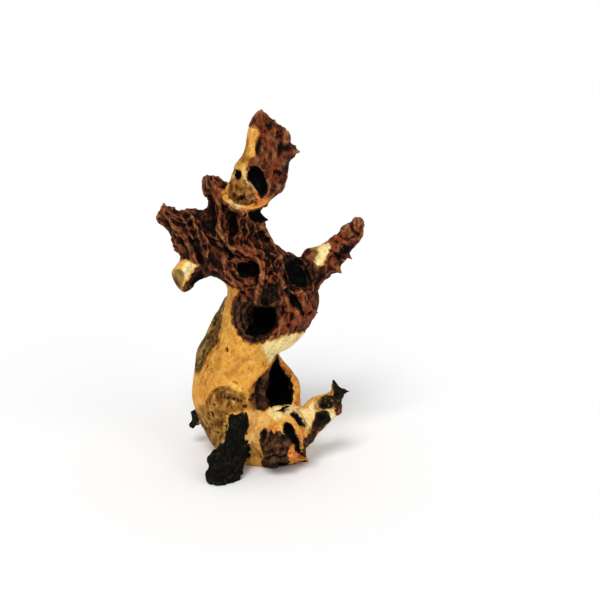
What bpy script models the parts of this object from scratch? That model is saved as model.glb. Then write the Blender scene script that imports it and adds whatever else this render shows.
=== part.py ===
"""Mopani root: one piece of driftwood that stands on its own root ends.

A leaning, hollow stem carries a broad ridged head, which splits into a tall upright limb, a short nub,
a left lobe with a sawn stub, and a limb to the right. Below, the stem spreads into a rounded front lobe,
a dark front foot, two back feet, a side shoot and a small spur.

The wood is one grown piece, so it is one object. Its limbs are swept along curves and fused, the rotted
hollows and the sawn faces are cut, the lower roots, spurs and raised fibres are fused on, and the
weathered relief is raised from the surface. Sizes are millimetres until the end, and the model is in
metres, +Z up, with its front towards -Y. The origin is on the floor under the middle of the bounding box.
"""

import math

import bmesh
import bpy
from mathutils import Matrix, Vector, kdtree, noise

MM = 0.001

# Mesh fineness: the fusing grid, the sides of a swept ring, and the triangles of the finished solid.
FUSE_GRID = 2.0
RING_SIDES = 28
STEPS_PER_STATION = 6
FINISHED_TRIANGLES = 11200
STEM_SOFTENING = 6
ROOT_SOFTENING = 2

# Ring frames: the directions in which a ring's half width and its half depth are measured.
# A limb without a frame has its rings square to its own run, as wide as the front shows it.
LEVEL = ((1, 0, 0), (0, 1, 0))
SIDEWAYS = ((0, 0, 1), (0, 1, 0))
FORWARD = ((1, 0, 0), (0, 0, 1))
SLANTED = ((0.67, 0.74, 0), (-0.74, 0.67, 0))

# Stations of each limb: x, y, z of its middle, then its half width and half depth.
STEM = (
    (2, 18, -4, 31, 26),
    (1, 15, 5, 33, 29),
    (-1, 12, 15, 37, 32),
    (-4, 12, 30, 41, 34),
    (-8, 11, 50, 44, 36),
    (-8, 10, 65, 43, 34),
    (-12, 8, 80, 37, 31),
    (-10, 6, 88, 30, 28),
    (-9, 5, 96, 28, 27),
    (0, 3, 104, 31, 27),
    (5, 2, 112, 34, 27),
    (9, 1, 120, 34, 27),
    (13, 0, 130, 36, 27),
    (14, 0, 140, 37, 26),
    (14, 0, 150, 37, 26),
    (11, 0, 160, 38, 25),
    (-2, 0, 170, 43, 24),
    (-11, 0, 178, 41, 22),
    (-20, 0, 186, 37, 21),
    (-25, 0, 194, 35, 20),
    (-28, -1, 202, 33, 18),
    (-25, -1, 209, 32, 16),
    (-17, -2, 216, 23, 13),
    (-10, -2, 223, 13, 11),
)
UPRIGHT_LIMB = (
    (-12, -1, 204, 14, 14),
    (-11, -2, 215, 16, 15),
    (-5, -4, 226, 18, 16),
    (0, -5, 234, 20, 16),
    (4, -6, 242, 22, 16),
    (5, -6, 250, 22, 15),
    (7, -6, 258, 21, 14),
    (10, -6, 265, 19, 13),
    (11, -5, 272, 19, 12),
    (11, -5, 277, 18, 11),
    (10, -4, 283, 16, 9),
    (7, -3, 289, 10, 7),
    (6, -3, 293, 6, 5),
    (6, -2, 297, 3, 3),
)
LEFT_LOBE = (
    (-36, -2, 197, 20, 18),
    (-50, -3, 197, 20, 16),
    (-59, -4, 200, 19, 13),
    (-63, -5, 206, 14, 11),
    (-67, -5, 210, 11, 9),
    (-71, -6, 213, 8, 7),
    (-76, -6, 214, 5, 5),
    (-79, -6, 214, 2, 2),
)
NUB = (
    (-24, 0, 206, 12, 12),
    (-26, -2, 222, 11, 10),
    (-31, -3, 234, 10, 9),
    (-34, -4, 241, 8, 7),
    (-35, -4, 246, 6, 5),
)
NUB_SHOULDER = (
    (-28, -3, 232, 6, 7),
    (-20, -3, 233, 5, 6),
    (-14, -3, 228, 6, 6),
)
SAWN_STUB = (
    (-39, -4, 182, 13, 12),
    (-48, -9, 172, 12, 11),
    (-56, -13, 165, 11, 11),
    (-64, -17, 160, 11, 11),
    (-72, -21, 156, 11, 11),
)
RIGHT_LIMB = (
    (30, 4, 152, 14, 14),
    (42, 4, 163, 13, 12),
    (51, 4, 173, 14, 13),
    (58, 6, 177, 11, 11),
    (65, 8, 181, 9, 9),
    (72, 9, 188, 9, 9),
    (78, 10, 195, 8, 7),
    (83, 11, 200, 6, 6),
    (87, 11, 204, 4, 3),
)
FLARE = (
    (18, 0, 127, 17, 17),
    (33, -3, 122, 9, 10),
    (42, -4, 117, 4, 4),
)
BACK_RIDGE = (
    (-19, 12, 140, 6, 9),
    (-24, 13, 128, 6, 12),
    (-29, 14, 117, 7, 13),
    (-34, 15, 101, 9, 15),
    (-38, 15, 90, 11, 15),
    (-41, 15, 79, 10, 14),
    (-43, 15, 66, 8, 12),
)
BACK_BURL = (
    (28, 6, 160, 14, 14),
    (20, 16, 140, 17, 15),
    (8, 18, 118, 16, 13),
    (0, 18, 96, 12, 12),
)
STEM_LIMBS = (
    (STEM, LEVEL),
    (UPRIGHT_LIMB, LEVEL),
    (LEFT_LOBE, SIDEWAYS),
    (NUB, LEVEL),
    (NUB_SHOULDER, SIDEWAYS),
    (SAWN_STUB, None),
    (RIGHT_LIMB, None),
    (FLARE, None),
    (BACK_RIDGE, LEVEL),
    (BACK_BURL, LEVEL),
)

# The rotted-out chamber in the stem, a limb of air with its window to the front right.
STEM_HOLLOW = (
    (17, -8, 93, 2, 16),
    (18, -8, 84, 7, 24),
    (19, -6, 70, 12, 30),
    (20, -2, 54, 12, 30),
    (19, 4, 40, 8, 20),
)
# The knot hole with the funnel beside it, and the smaller pockets: x, y, z of the middle of each
# ellipsoid of air, then its half sizes along x, y and z.
HEAD_HOLLOWS = (
    (1, -28, 134, 19, 15, 20),
    (6, -14, 129, 13, 24, 13),
    (21, -43, 143, 23, 21, 24),
    (-4, -26, 175, 10, 16, 7),
    (33, -28, 168, 13, 24, 15),
    (33, -27, 148, 6, 10, 10),
    (3, -21, 246, 7, 12, 12),
    (-16, -22, 208, 6, 11, 11),
    (2, -20, 216, 6, 12, 6),
    (-47, -24, 164, 7, 8, 9),
    (6, -27, 67, 12, 14, 20),
)
# Flat cuts: a point on the sawn face, the way the face looks, and how far across the cut reaches.
SAWN_FACES = (
    ((-62, -16, 161), (-12, -6, -6), 60),
    ((52, -8, 180), (-0.35, -0.85, 0.35), 22),
)

# What stands on the floor or springs from the foot of the stem.
FRONT_LOBE = (
    (11, 2, 29, 26, 26),
    (13, -4, 29, 26, 27),
    (18, -14, 31, 26, 25),
    (21, -27, 31, 22, 20),
    (21, -36, 30, 14, 13),
)
FRONT_LIP = (
    (-6, -2, 12, 14, 10),
    (8, -5, 11, 14, 13),
    (24, -5, 10, 14, 13),
    (35, -3, 9, 12, 11),
    (42, -3, 8, 8, 7),
)
SIDE_SHOOT = (
    (34, -5, 28, 14, 12),
    (44, -4, 37, 13, 11),
    (53, -2, 45, 14, 9),
    (61, -1, 51, 11, 7),
    (66, 0, 59, 7, 5),
)
FRONT_FOOT = (
    (-10, -17, 58, 4, 6),
    (-11, -21, 50, 8, 8),
    (-13, -24, 41, 11, 9),
    (-17, -28, 32, 14, 10),
    (-20, -31, 25, 17, 11),
    (-23, -34, 16, 19, 11),
    (-24, -34, 6, 19, 10),
    (-24, -34, -4, 18, 9),
)
LEFT_SPUR = (
    (-38, 22, 39, 10, 9),
    (-47, 27, 28, 6, 5),
    (-57, 31, 17, 2, 2),
)
BACK_LEFT_FOOT = (
    (-33, 14, 41, 13, 16),
    (-30, 24, 25, 12, 13),
    (-26, 33, 10, 11, 12),
    (-24, 38, -4, 12, 11),
)
BACK_FOOT = (
    (20, 28, 40, 15, 14),
    (23, 36, 20, 14, 13),
    (27, 43, 8, 13, 11),
    (30, 47, -4, 12, 9),
)
# Broken spurs: one on the upright limb, one at the neck, one on the left lobe, the two points at
# the end of the side shoot, and two stubs of twigs under the right limb.
SPURS = (
    ((22, -5, 267, 8, 6), (31, -5, 266, 5, 3), (38, -5, 265, 1, 1)),
    ((2, -4, 212, 5, 5), (11, -6, 210, 2, 2)),
    ((-71, -6, 214, 4, 4), (-72, -6, 225, 1, 1)),
    ((62, -1, 56, 6, 4), (63, 0, 66, 3, 2), (64, 0, 73, 1, 1)),
    ((64, -1, 57, 6, 4), (72, 0, 61, 3, 2), (79, 0, 63, 1, 1)),
    ((60, 7, 174, 6, 6), (66, 7, 165, 3, 3)),
    ((68, 8, 184, 7, 6), (75, 8, 177, 4, 4)),
)
ROOT_LIMBS = (
    (FRONT_LOBE, FORWARD),
    (FRONT_LIP, SIDEWAYS),
    (SIDE_SHOOT, None),
    (FRONT_FOOT, SLANTED),
    (LEFT_SPUR, None),
    (BACK_LEFT_FOOT, None),
    (BACK_FOOT, None),
    *((spur, None) for spur in SPURS),
)

# Raised fibres on the front of the head: x and z of each point, and the fibre's half thickness there.
# Each lies along the front of the stem as it was before it rotted, so one spans the knot hole.
FIBRES = (
    ((-31, 241, 3), (-28, 229, 3), (-27, 218, 3), (-26, 208, 3), (-22, 199, 3), (-16, 194, 3),
     (-7, 190, 3), (2, 187, 3), (5, 182, 3), (6, 171, 3), (5, 163, 3), (3, 155, 3), (2, 146, 2)),
    ((-12, 218, 2), (-12, 205, 3), (-14, 194, 3)),
    ((-67, 213, 2), (-58, 202, 3), (-50, 194, 3), (-46, 185, 3), (-43, 177, 3)),
    ((-50, 215, 2), (-45, 208, 3), (-41, 197, 3), (-37, 185, 3), (-35, 176, 3)),
    ((-23, 182, 3), (-19, 170, 3), (-13, 162, 3)),
    ((3, 209, 3), (8, 198, 3), (13, 189, 3), (19, 179, 3), (22, 169, 2), (21, 158, 3)),
    ((28, 184, 2), (37, 180, 2), (44, 173, 2), (48, 165, 2), (50, 156, 3)),
    ((-21, 230, 3), (-14, 225, 3), (-5, 223, 3), (5, 224, 3), (11, 228, 3)),
)

FIBRE_STANDS_OUT = 1.5

# Where the dark heartwood is bare: x, y, z of the middle of each ellipsoid, then its half sizes.
HEARTWOOD = (
    (-22, 0, 192, 62, 60, 37),
    (20, 0, 160, 38, 60, 34),
    (72, 9, 184, 26, 30, 30),
    (19, -6, 268, 20, 32, 34),
    (-33, 0, 240, 12, 24, 22),
    (-24, -47, 22, 24, 24, 42),
    (17, -42, 24, 14, 13, 18),
    (-21, -24, 64, 17, 14, 12),
    (-36, 4, 114, 9, 24, 22),
    (-55, 29, 20, 12, 12, 14),
    (70, 0, 64, 10, 10, 14),
    (56, -8, 46, 8, 8, 8),
    (46, -6, 26, 8, 10, 10),
    (20, 4, 70, 15, 36, 26),
    (5, -24, 66, 11, 14, 18),
    (4, -12, 132, 19, 34, 20),
    (26, -34, 143, 24, 24, 27),
    (-70, -6, 214, 16, 16, 14),
    (8, -3, 296, 9, 10, 12),
)
# Islands of pale sapwood within it: the foot of the upright limb, the stub, the cut facet and the lobe.
SAPWOOD = (
    (-8, -4, 240, 14, 24, 18),
    (8, -10, 226, 10, 12, 7),
    (-7, -8, 262, 9, 18, 28),
    (-58, -14, 168, 14, 16, 13),
    (52, -6, 179, 8, 12, 15),
    (18, -19, 40, 24, 20, 20),
)

# Weathered relief: slow swells everywhere, and ribs drawn out along the grain.
SWELL_HEIGHT = 1.6
SWELL_LENGTH = 24.0
SAPWOOD_RIBS = 0.8
HEARTWOOD_RIBS = 3.6
RIB_SPACING = 8.0
RIB_STRETCH = 4.0

# The floor is trimmed level at z 0, and the origin is set on it under the middle of the bounding box.
FLOOR_SLAB = 400
MIDDLE_ON_FLOOR = (5, 2, 0)


def clear_scene():
    for obj in list(bpy.data.objects):
        bpy.data.objects.remove(obj, do_unlink=True)


def spline(stations):
    """Points of a smooth curve through the stations, as a Catmull-Rom spline in all their numbers."""
    ends = (stations[0], *stations, stations[-1])
    points = []
    for before, start, end, after in zip(ends, ends[1:], ends[2:], ends[3:]):
        for step in range(STEPS_PER_STATION):
            t = step / STEPS_PER_STATION
            points.append([
                0.5 * (2 * b + (c - a) * t + (2 * a - 5 * b + 4 * c - d) * t**2 + (3 * b - a - 3 * c + d) * t**3)
                for a, b, c, d in zip(before, start, end, after)
            ])
    points.append(list(stations[-1]))
    return points


def tangents(points):
    """The direction of travel at each point of a curve."""
    found = []
    for index in range(len(points)):
        ahead = Vector(points[min(index + 1, len(points) - 1)][:3])
        behind = Vector(points[max(index - 1, 0)][:3])
        found.append((ahead - behind).normalized())
    return found


def add_limb(bm, stations, frame=None):
    """Sweeps rings along the stations, in the frame given or square to the limb's own run."""
    points = spline(stations)
    rings = []
    for point, along in zip(points, tangents(points)):
        if frame:
            across, deep = (Vector(direction) for direction in frame)
        else:
            across = along.cross(Vector((0, 1, 0))).normalized()
            deep = across.cross(along)
        half_width, half_depth = point[3:]
        ring = []
        for side in range(RING_SIDES):
            turn = 2 * math.pi * side / RING_SIDES
            offset = across * half_width * math.cos(turn) + deep * half_depth * math.sin(turn)
            ring.append(bm.verts.new(Vector(point[:3]) + offset))
        rings.append(ring)
    for lower, upper in zip(rings, rings[1:]):
        for side in range(RING_SIDES):
            after = (side + 1) % RING_SIDES
            bm.faces.new((lower[side], lower[after], upper[after], upper[side]))
    bm.faces.new(reversed(rings[0]))
    bm.faces.new(rings[-1])


def mesh_object(name, bm):
    """A bmesh as an object whose faces point outwards, still in millimetres."""
    bmesh.ops.recalc_face_normals(bm, faces=bm.faces)
    mesh = bpy.data.meshes.new(name)
    bm.to_mesh(mesh)
    bm.free()
    obj = bpy.data.objects.new(name, mesh)
    bpy.context.scene.collection.objects.link(obj)
    return obj


def limb_cutter(stations):
    bm = bmesh.new()
    add_limb(bm, stations, LEVEL)
    return mesh_object("hollow", bm)


def pocket_cutter(x, y, z, half_x, half_y, half_z):
    bm = bmesh.new()
    shape = Matrix.Translation((x, y, z)) @ Matrix.Diagonal((half_x, half_y, half_z, 1))
    bmesh.ops.create_icosphere(bm, subdivisions=3, radius=1, matrix=shape)
    return mesh_object("pocket", bm)


def flat_cutter(point, looking, reach):
    """A cube with one face on the point, that takes away what lies in front of that face."""
    bm = bmesh.new()
    out = Vector(looking).normalized()
    turn = out.to_track_quat("Z", "Y").to_matrix().to_4x4()
    middle = Vector(point) + out * reach / 2
    bmesh.ops.create_cube(bm, size=reach, matrix=Matrix.Translation(middle) @ turn)
    return mesh_object("flat_cut", bm)


def settle(obj):
    """Makes the modifiers' result the object's own mesh."""
    bpy.context.view_layer.update()
    graph = bpy.context.evaluated_depsgraph_get()
    mesh = bpy.data.meshes.new_from_object(obj.evaluated_get(graph))
    obj.modifiers.clear()
    obj.data = mesh


def fuse(obj, softening=0):
    """Fuses all the closed shells of the object on a fine grid, and softens the joins."""
    remesh = obj.modifiers.new("fuse", "REMESH")
    remesh.mode = "VOXEL"
    remesh.voxel_size = FUSE_GRID
    smooth = obj.modifiers.new("soften", "SMOOTH")
    smooth.factor = 0.5
    smooth.iterations = softening
    settle(obj)


def cut(obj, cutter):
    """Takes the cutter's shape out of the object, and the cutter out of the scene."""
    boolean = obj.modifiers.new("cut", "BOOLEAN")
    boolean.operation = "DIFFERENCE"
    boolean.object = cutter
    settle(obj)
    bpy.data.objects.remove(cutter, do_unlink=True)


def whole_stem():
    """The stem, the head and its limbs, before any of it rotted or was sawn."""
    bm = bmesh.new()
    for stations, frame in STEM_LIMBS:
        add_limb(bm, stations, frame)
    stem = mesh_object("stem", bm)
    fuse(stem, STEM_SOFTENING)
    return stem


def fibre_stations(stem):
    """The stations of each raised fibre, laid along the front of the stem."""
    bpy.context.view_layer.update()
    clear_of_front = -200
    laid = []
    for points in FIBRES:
        stations = []
        for x, z, half in points:
            hit, place, _, _ = stem.ray_cast((x, clear_of_front, z), (0, 1, 0))
            if hit:
                stations.append((x, place.y - FIBRE_STANDS_OUT, z, half, half))
        laid.append(stations)
    return laid


def hollow_out(stem):
    cut(stem, limb_cutter(STEM_HOLLOW))
    for pocket in HEAD_HOLLOWS:
        cut(stem, pocket_cutter(*pocket))
    for point, looking, reach in SAWN_FACES:
        cut(stem, flat_cutter(point, looking, reach))


def grown_root():
    """The whole root before its relief: the hollowed stem with the lower roots and the fibres fused on."""
    stem = whole_stem()
    fibres = fibre_stations(stem)
    hollow_out(stem)
    bm = bmesh.new()
    bm.from_mesh(stem.data)
    for stations, frame in ROOT_LIMBS:
        add_limb(bm, stations, frame)
    for stations in fibres:
        add_limb(bm, stations)
    bpy.data.objects.remove(stem, do_unlink=True)
    root = mesh_object("mopani_root", bm)
    fuse(root, ROOT_SOFTENING)
    return root


def inside(place, areas):
    """How deep a place is in the nearest of the ellipsoids: 1 at its middle, 0 on its surface, negative outside."""
    depths = []
    for x, y, z, half_x, half_y, half_z in areas:
        apart = Vector(((place.x - x) / half_x, (place.y - y) / half_y, (place.z - z) / half_z))
        depths.append(1 - apart.length)
    return max(depths)


def is_heartwood(place):
    return inside(place, HEARTWOOD) > 0 and inside(place, SAPWOOD) < 0


def grain_tree():
    """A lookup from a place to the middle line of the nearest limb, its run there and how far along it is."""
    samples = []
    for stations, _ in STEM_LIMBS + ROOT_LIMBS:
        points = spline(stations)
        travelled = 0
        last = Vector(points[0][:3])
        for point, along in zip(points, tangents(points)):
            middle = Vector(point[:3])
            travelled += (middle - last).length
            last = middle
            samples.append((middle, along, travelled))
    tree = kdtree.KDTree(len(samples))
    for index, (middle, _, _) in enumerate(samples):
        tree.insert(middle, index)
    tree.balance()
    return tree, samples


def raise_relief(root):
    """Moves the surface along its normals: slow swells, and ribs drawn out along the grain."""
    tree, samples = grain_tree()
    mesh = root.data
    heights = []
    for vertex in mesh.vertices:
        place = vertex.co
        _, index, _ = tree.find(place)
        middle, along, travelled = samples[index]
        offset = place - middle
        on_run = offset.dot(along)
        grain = (offset - along * on_run) + along * (travelled + on_run) / RIB_STRETCH
        rib = 0.5 - abs(noise.noise(grain / RIB_SPACING)) * 2
        rib_height = HEARTWOOD_RIBS if is_heartwood(place) else SAPWOOD_RIBS
        heights.append(noise.noise(place / SWELL_LENGTH) * SWELL_HEIGHT + rib * rib_height)
    normals = [vertex.normal.copy() for vertex in mesh.vertices]
    for vertex, normal, height in zip(mesh.vertices, normals, heights):
        vertex.co += normal * height


def thin_out(root):
    """Fuses the relief once more, so that no fold is left, and thins the mesh where the surface is plain."""
    fuse(root)
    root.data.calc_loop_triangles()
    decimate = root.modifiers.new("thin", "DECIMATE")
    decimate.ratio = FINISHED_TRIANGLES / len(root.data.loop_triangles)
    decimate.use_collapse_triangulate = True
    settle(root)


def wood(name, colour, roughness):
    material = bpy.data.materials.new(name)
    material.use_nodes = True
    shader = material.node_tree.nodes["Principled BSDF"]
    shader.inputs["Base Color"].default_value = (*colour, 1)
    shader.inputs["Roughness"].default_value = roughness
    shader.inputs["Metallic"].default_value = 0
    return material


def finish(root):
    """Sapwood in the first slot and bare heartwood in the second, then metres with the origin on the floor."""
    root.data.materials.clear()
    root.data.materials.append(wood("mopani_sapwood", (0.60, 0.32, 0.08), 0.6))
    root.data.materials.append(wood("mopani_heartwood", (0.07, 0.018, 0.008), 0.8))
    for face in root.data.polygons:
        face.material_index = int(is_heartwood(face.center))
    root.data.transform(Matrix.Scale(MM, 4) @ Matrix.Translation(-Vector(MIDDLE_ON_FLOOR)))
    root.data.shade_smooth()


def main():
    clear_scene()
    root = grown_root()
    raise_relief(root)
    thin_out(root)
    cut(root, flat_cutter((0, 0, 0), (0, 0, -1), FLOOR_SLAB))
    finish(root)


main()
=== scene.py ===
"""Looks of a mopani root: one hollow, two-tone piece of driftwood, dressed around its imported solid.

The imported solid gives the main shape. Its surface is rebuilt finely here, carved with the strands,
grooves, bore holes and broken edges of real mopani, and finished as the two woods that it is made of: a
smooth golden sapwood and a rough, dark red heartwood. Sizes are in millimetres in the frame of the solid,
and become metres when a mesh is written. Places that the photograph shows are given as points of its frame,
in pixels, and are laid on the wood by looking through the camera at that point.
"""

import logging
import math
from dataclasses import dataclass
from enum import Enum, IntEnum
from itertools import product

import bpy
import numpy as np
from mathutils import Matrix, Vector
from mathutils.bvhtree import BVHTree


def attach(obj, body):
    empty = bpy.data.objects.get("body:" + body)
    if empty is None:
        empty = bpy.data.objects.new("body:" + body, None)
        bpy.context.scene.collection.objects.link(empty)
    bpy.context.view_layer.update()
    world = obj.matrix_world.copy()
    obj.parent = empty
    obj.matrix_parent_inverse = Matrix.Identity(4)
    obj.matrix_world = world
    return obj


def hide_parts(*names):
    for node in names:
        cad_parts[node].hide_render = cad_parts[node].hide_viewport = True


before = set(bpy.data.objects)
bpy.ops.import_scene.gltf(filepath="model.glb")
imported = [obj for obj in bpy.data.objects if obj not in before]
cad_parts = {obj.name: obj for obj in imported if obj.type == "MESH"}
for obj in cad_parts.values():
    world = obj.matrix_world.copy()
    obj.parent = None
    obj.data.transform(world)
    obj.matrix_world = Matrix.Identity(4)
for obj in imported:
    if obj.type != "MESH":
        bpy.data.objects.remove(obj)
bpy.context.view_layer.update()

LOG = logging.getLogger("mopani_root")

NODE = "mopani_root"
BODY = "root"
MM = 0.001
PHOTO_SIDE = 600

Place = tuple[float, float, float]
Pixels = tuple[tuple[float, float], ...]


class Draw(IntEnum):
    """The number that each random pattern starts from, so that it comes out the same on every run.

    A pattern of several layers takes the numbers after its own too.
    """

    OCCLUSION_SHADE_RAYS = 7
    RIBS = 7
    SWELLS = 17
    CRAGS = 22
    WANDER = 27
    HOLLOWS = 32
    UNEVENNESS = 37
    WOBBLE = 40
    STREAKS = 42
    WAVE = 60


def linear(colour: str) -> tuple[float, float, float, float]:
    """Turns an sRGB hex colour into the linear colour that a shader takes.

    Args:
        colour: Six hex digits after a hash sign.

    Returns:
        Red, green, blue and an opaque alpha.
    """
    shares = [int(colour[start:start + 2], 16) / 255 for start in (1, 3, 5)]
    red, green, blue = (s / 12.92 if s <= 0.04045 else ((s + 0.055) / 1.055) ** 2.4 for s in shares)
    return red, green, blue, 1.0


def eased(share: np.ndarray) -> np.ndarray:
    """Keeps a share between 0 and 1, with a soft start and a soft end."""
    kept = np.clip(share, 0, 1)
    return kept * kept * (3 - 2 * kept)


def over_edge(depth: np.ndarray, width: float) -> np.ndarray:
    """The share of a finish, from 0 to 1 across its soft edge, at each depth inside it."""
    return eased(0.5 + depth / width)


class Noise:
    """Smooth random heights all through space, from about -1 to 1 and the same on each run."""

    CELLS = 256
    FULL_HEIGHT = 1.7

    def __init__(self, seed: int) -> None:
        """Draws the slopes of the noise.

        Args:
            seed: Which noise of many this is.
        """
        source = np.random.default_rng(seed)
        self.order = source.permutation(self.CELLS)
        slopes = source.normal(size=(self.CELLS, 3))
        self.slopes = slopes / np.linalg.norm(slopes, axis=1, keepdims=True)

    def at(self, places: np.ndarray, spacing: float) -> np.ndarray:
        """Reads the noise.

        Args:
            places: Points, one in each row.
            spacing: Distance from one swell of the noise to the next, in the units of the places.

        Returns:
            One height for each place.
        """
        scaled = places / spacing
        corner = np.floor(scaled).astype(np.int64)
        within = scaled - corner
        ease = within**3 * (within * (within * 6 - 15) + 10)
        height = np.zeros(len(places))
        for step in product((0, 1), repeat=3):
            x, y, z = (corner + step).T
            cell = self.order[(self.order[(self.order[x % self.CELLS] + y) % self.CELLS] + z) % self.CELLS]
            share = np.where(step, ease, 1 - ease).prod(axis=1)
            height += share * (self.slopes[cell] * (within - step)).sum(axis=1)
        return height * self.FULL_HEIGHT

    def ridges(self, places: np.ndarray, spacing: float) -> np.ndarray:
        """Reads the noise as ridges, with 1 on their crests and about -1 between them."""
        return 1 - 2 * np.minimum(np.abs(self.at(places, spacing)) * 2, 1)


def smooth_line(points: np.ndarray, pieces: int) -> np.ndarray:
    """Rounds a bent line, as a Catmull-Rom spline through its points.

    Args:
        points: The points it passes through, one in each row.
        pieces: How many pieces to cut each stretch into.

    Returns:
        The points of the rounded line.
    """
    ends = np.concatenate([points[:1], points, points[-1:]])
    share = (np.arange(pieces) / pieces)[:, None]
    found = []
    for a, b, c, d in zip(ends, ends[1:], ends[2:], ends[3:]):
        found.append(0.5 * (2 * b + (c - a) * share + (2 * a - 5 * b + 4 * c - d) * share**2
                            + (3 * b - a - 3 * c + d) * share**3))
    return np.concatenate([*found, points[-1:]])


@dataclass(frozen=True)
class PhotoView:
    """The camera of the photograph: a long lens a little above the root, looking slightly down on it."""

    lens: float = 135.0
    sensor: float = 36.0
    distance: float = 1800.0
    elevation_deg: float = 20.0
    target: Place = (31.0, -2.0, 141.0)

    @property
    def back(self) -> np.ndarray:
        """The direction from the target to the camera."""
        tilt = math.radians(self.elevation_deg)
        return np.array((0.0, -math.cos(tilt), math.sin(tilt)))

    @property
    def up(self) -> np.ndarray:
        """The direction that is up in the picture."""
        tilt = math.radians(self.elevation_deg)
        return np.array((0.0, math.sin(tilt), math.cos(tilt)))

    @property
    def eye(self) -> np.ndarray:
        """Where the camera stands."""
        return np.array(self.target) + self.back * self.distance

    @property
    def pixels_per_slope(self) -> float:
        """How many pixels a slope of 1 away from the line of sight spans."""
        return PHOTO_SIDE * self.lens / self.sensor

    def pixels(self, places: np.ndarray) -> np.ndarray:
        """Finds where places are seen.

        Args:
            places: Points in millimetres, one in each row.

        Returns:
            The pixel across and the pixel down of each place.
        """
        from_eye = places - self.eye
        ahead = -(from_eye @ self.back)
        across = from_eye[:, 0] / ahead * self.pixels_per_slope
        upward = (from_eye @ self.up) / ahead * self.pixels_per_slope
        return np.stack([PHOTO_SIDE / 2 + across, PHOTO_SIDE / 2 - upward], axis=1)

    def sight(self, pixel: np.ndarray) -> np.ndarray:
        """The direction in which the camera sees a pixel."""
        across, down = (pixel - PHOTO_SIDE / 2) / self.pixels_per_slope
        ray = -self.back + np.array((1.0, 0.0, 0.0)) * across - self.up * down
        return ray / np.linalg.norm(ray)

    def build(self) -> None:
        """Makes the camera and looks through it."""
        data = bpy.data.cameras.new("photo_camera")
        data.lens = self.lens
        data.sensor_width = self.sensor
        camera = bpy.data.objects.new("photo_camera", data)
        bpy.context.scene.collection.objects.link(camera)
        camera.location = Vector(self.eye) * MM
        camera.rotation_mode = "QUATERNION"
        camera.rotation_quaternion = Vector(-self.back).to_track_quat("-Z", "Y")
        bpy.context.scene.camera = camera


class Surface:
    """The mesh of an object as arrays in millimetres, with what reads and changes its surface."""

    def __init__(self, obj: bpy.types.Object) -> None:
        """Reads the mesh.

        Args:
            obj: A mesh object that stands at the origin.
        """
        self.mesh = obj.data
        count = len(self.mesh.vertices)
        self.points = self.read(self.mesh.vertices, "co", np.float32, 3).reshape(count, 3) / MM
        self.normals = self.read(self.mesh.vertex_normals, "vector", np.float32, 3).reshape(count, 3)
        self.edges = self.read(self.mesh.edges, "vertices", np.int32, 2).reshape(-1, 2)

    @staticmethod
    def read(items: bpy.types.bpy_prop_collection, name: str, kind: type, width: int) -> np.ndarray:
        """Reads one property of all items of a mesh as a flat array."""
        values = np.empty(len(items) * width, kind)
        items.foreach_get(name, values)
        return values.astype(np.float64 if kind is np.float32 else kind)

    def write(self) -> None:
        """Puts the points back into the mesh."""
        self.mesh.vertices.foreach_set("co", (self.points * MM).astype(np.float32).ravel())
        self.mesh.update()

    def spread(self, values: np.ndarray, passes: int) -> np.ndarray:
        """Softens values over the surface, by drawing each halfway to the mean of its neighbours.

        Args:
            values: One row for each point.
            passes: How many times to do it.

        Returns:
            The softened values.
        """
        starts, ends = self.edges.T
        count = len(self.points)
        neighbours = np.bincount(np.concatenate([starts, ends]), minlength=count)
        columns = [column.copy() for column in values.reshape(count, -1).T]
        for _ in range(passes):
            for column in columns:
                total = np.bincount(starts, column[ends], count) + np.bincount(ends, column[starts], count)
                column += 0.5 * (total / neighbours - column)
        return np.stack(columns, axis=1).reshape(values.shape)

    def tree(self) -> BVHTree:
        """A lookup that finds where a ray meets the surface."""
        triangles = self.read(self.mesh.polygons, "loop_total", np.int32, 1)
        corners = self.read(self.mesh.loops, "vertex_index", np.int32, 1)
        faces = np.split(corners, np.cumsum(triangles)[:-1])
        return BVHTree.FromPolygons(self.points.tolist(), [face.tolist() for face in faces])

    def store(self, name: str, values: np.ndarray) -> None:
        """Keeps one value for each point as a named attribute that a material can read."""
        attribute = self.mesh.attributes.new(name, "FLOAT", "POINT")
        attribute.data.foreach_set("value", values.astype(np.float32))


@dataclass(frozen=True)
class ReliefLayer:
    """One size of ribs or lumps in the wood, in millimetres, stretched along the grain."""

    spacing: float
    stretch: float
    height: float
    ridged: bool = True


@dataclass(frozen=True)
class GrainLine:
    """The middle line of one limb, along which its fibres grew, its reach and its share of the relief."""

    name: str
    reach: float
    path: tuple[Place, ...]
    relief: float = 1.0


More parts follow.
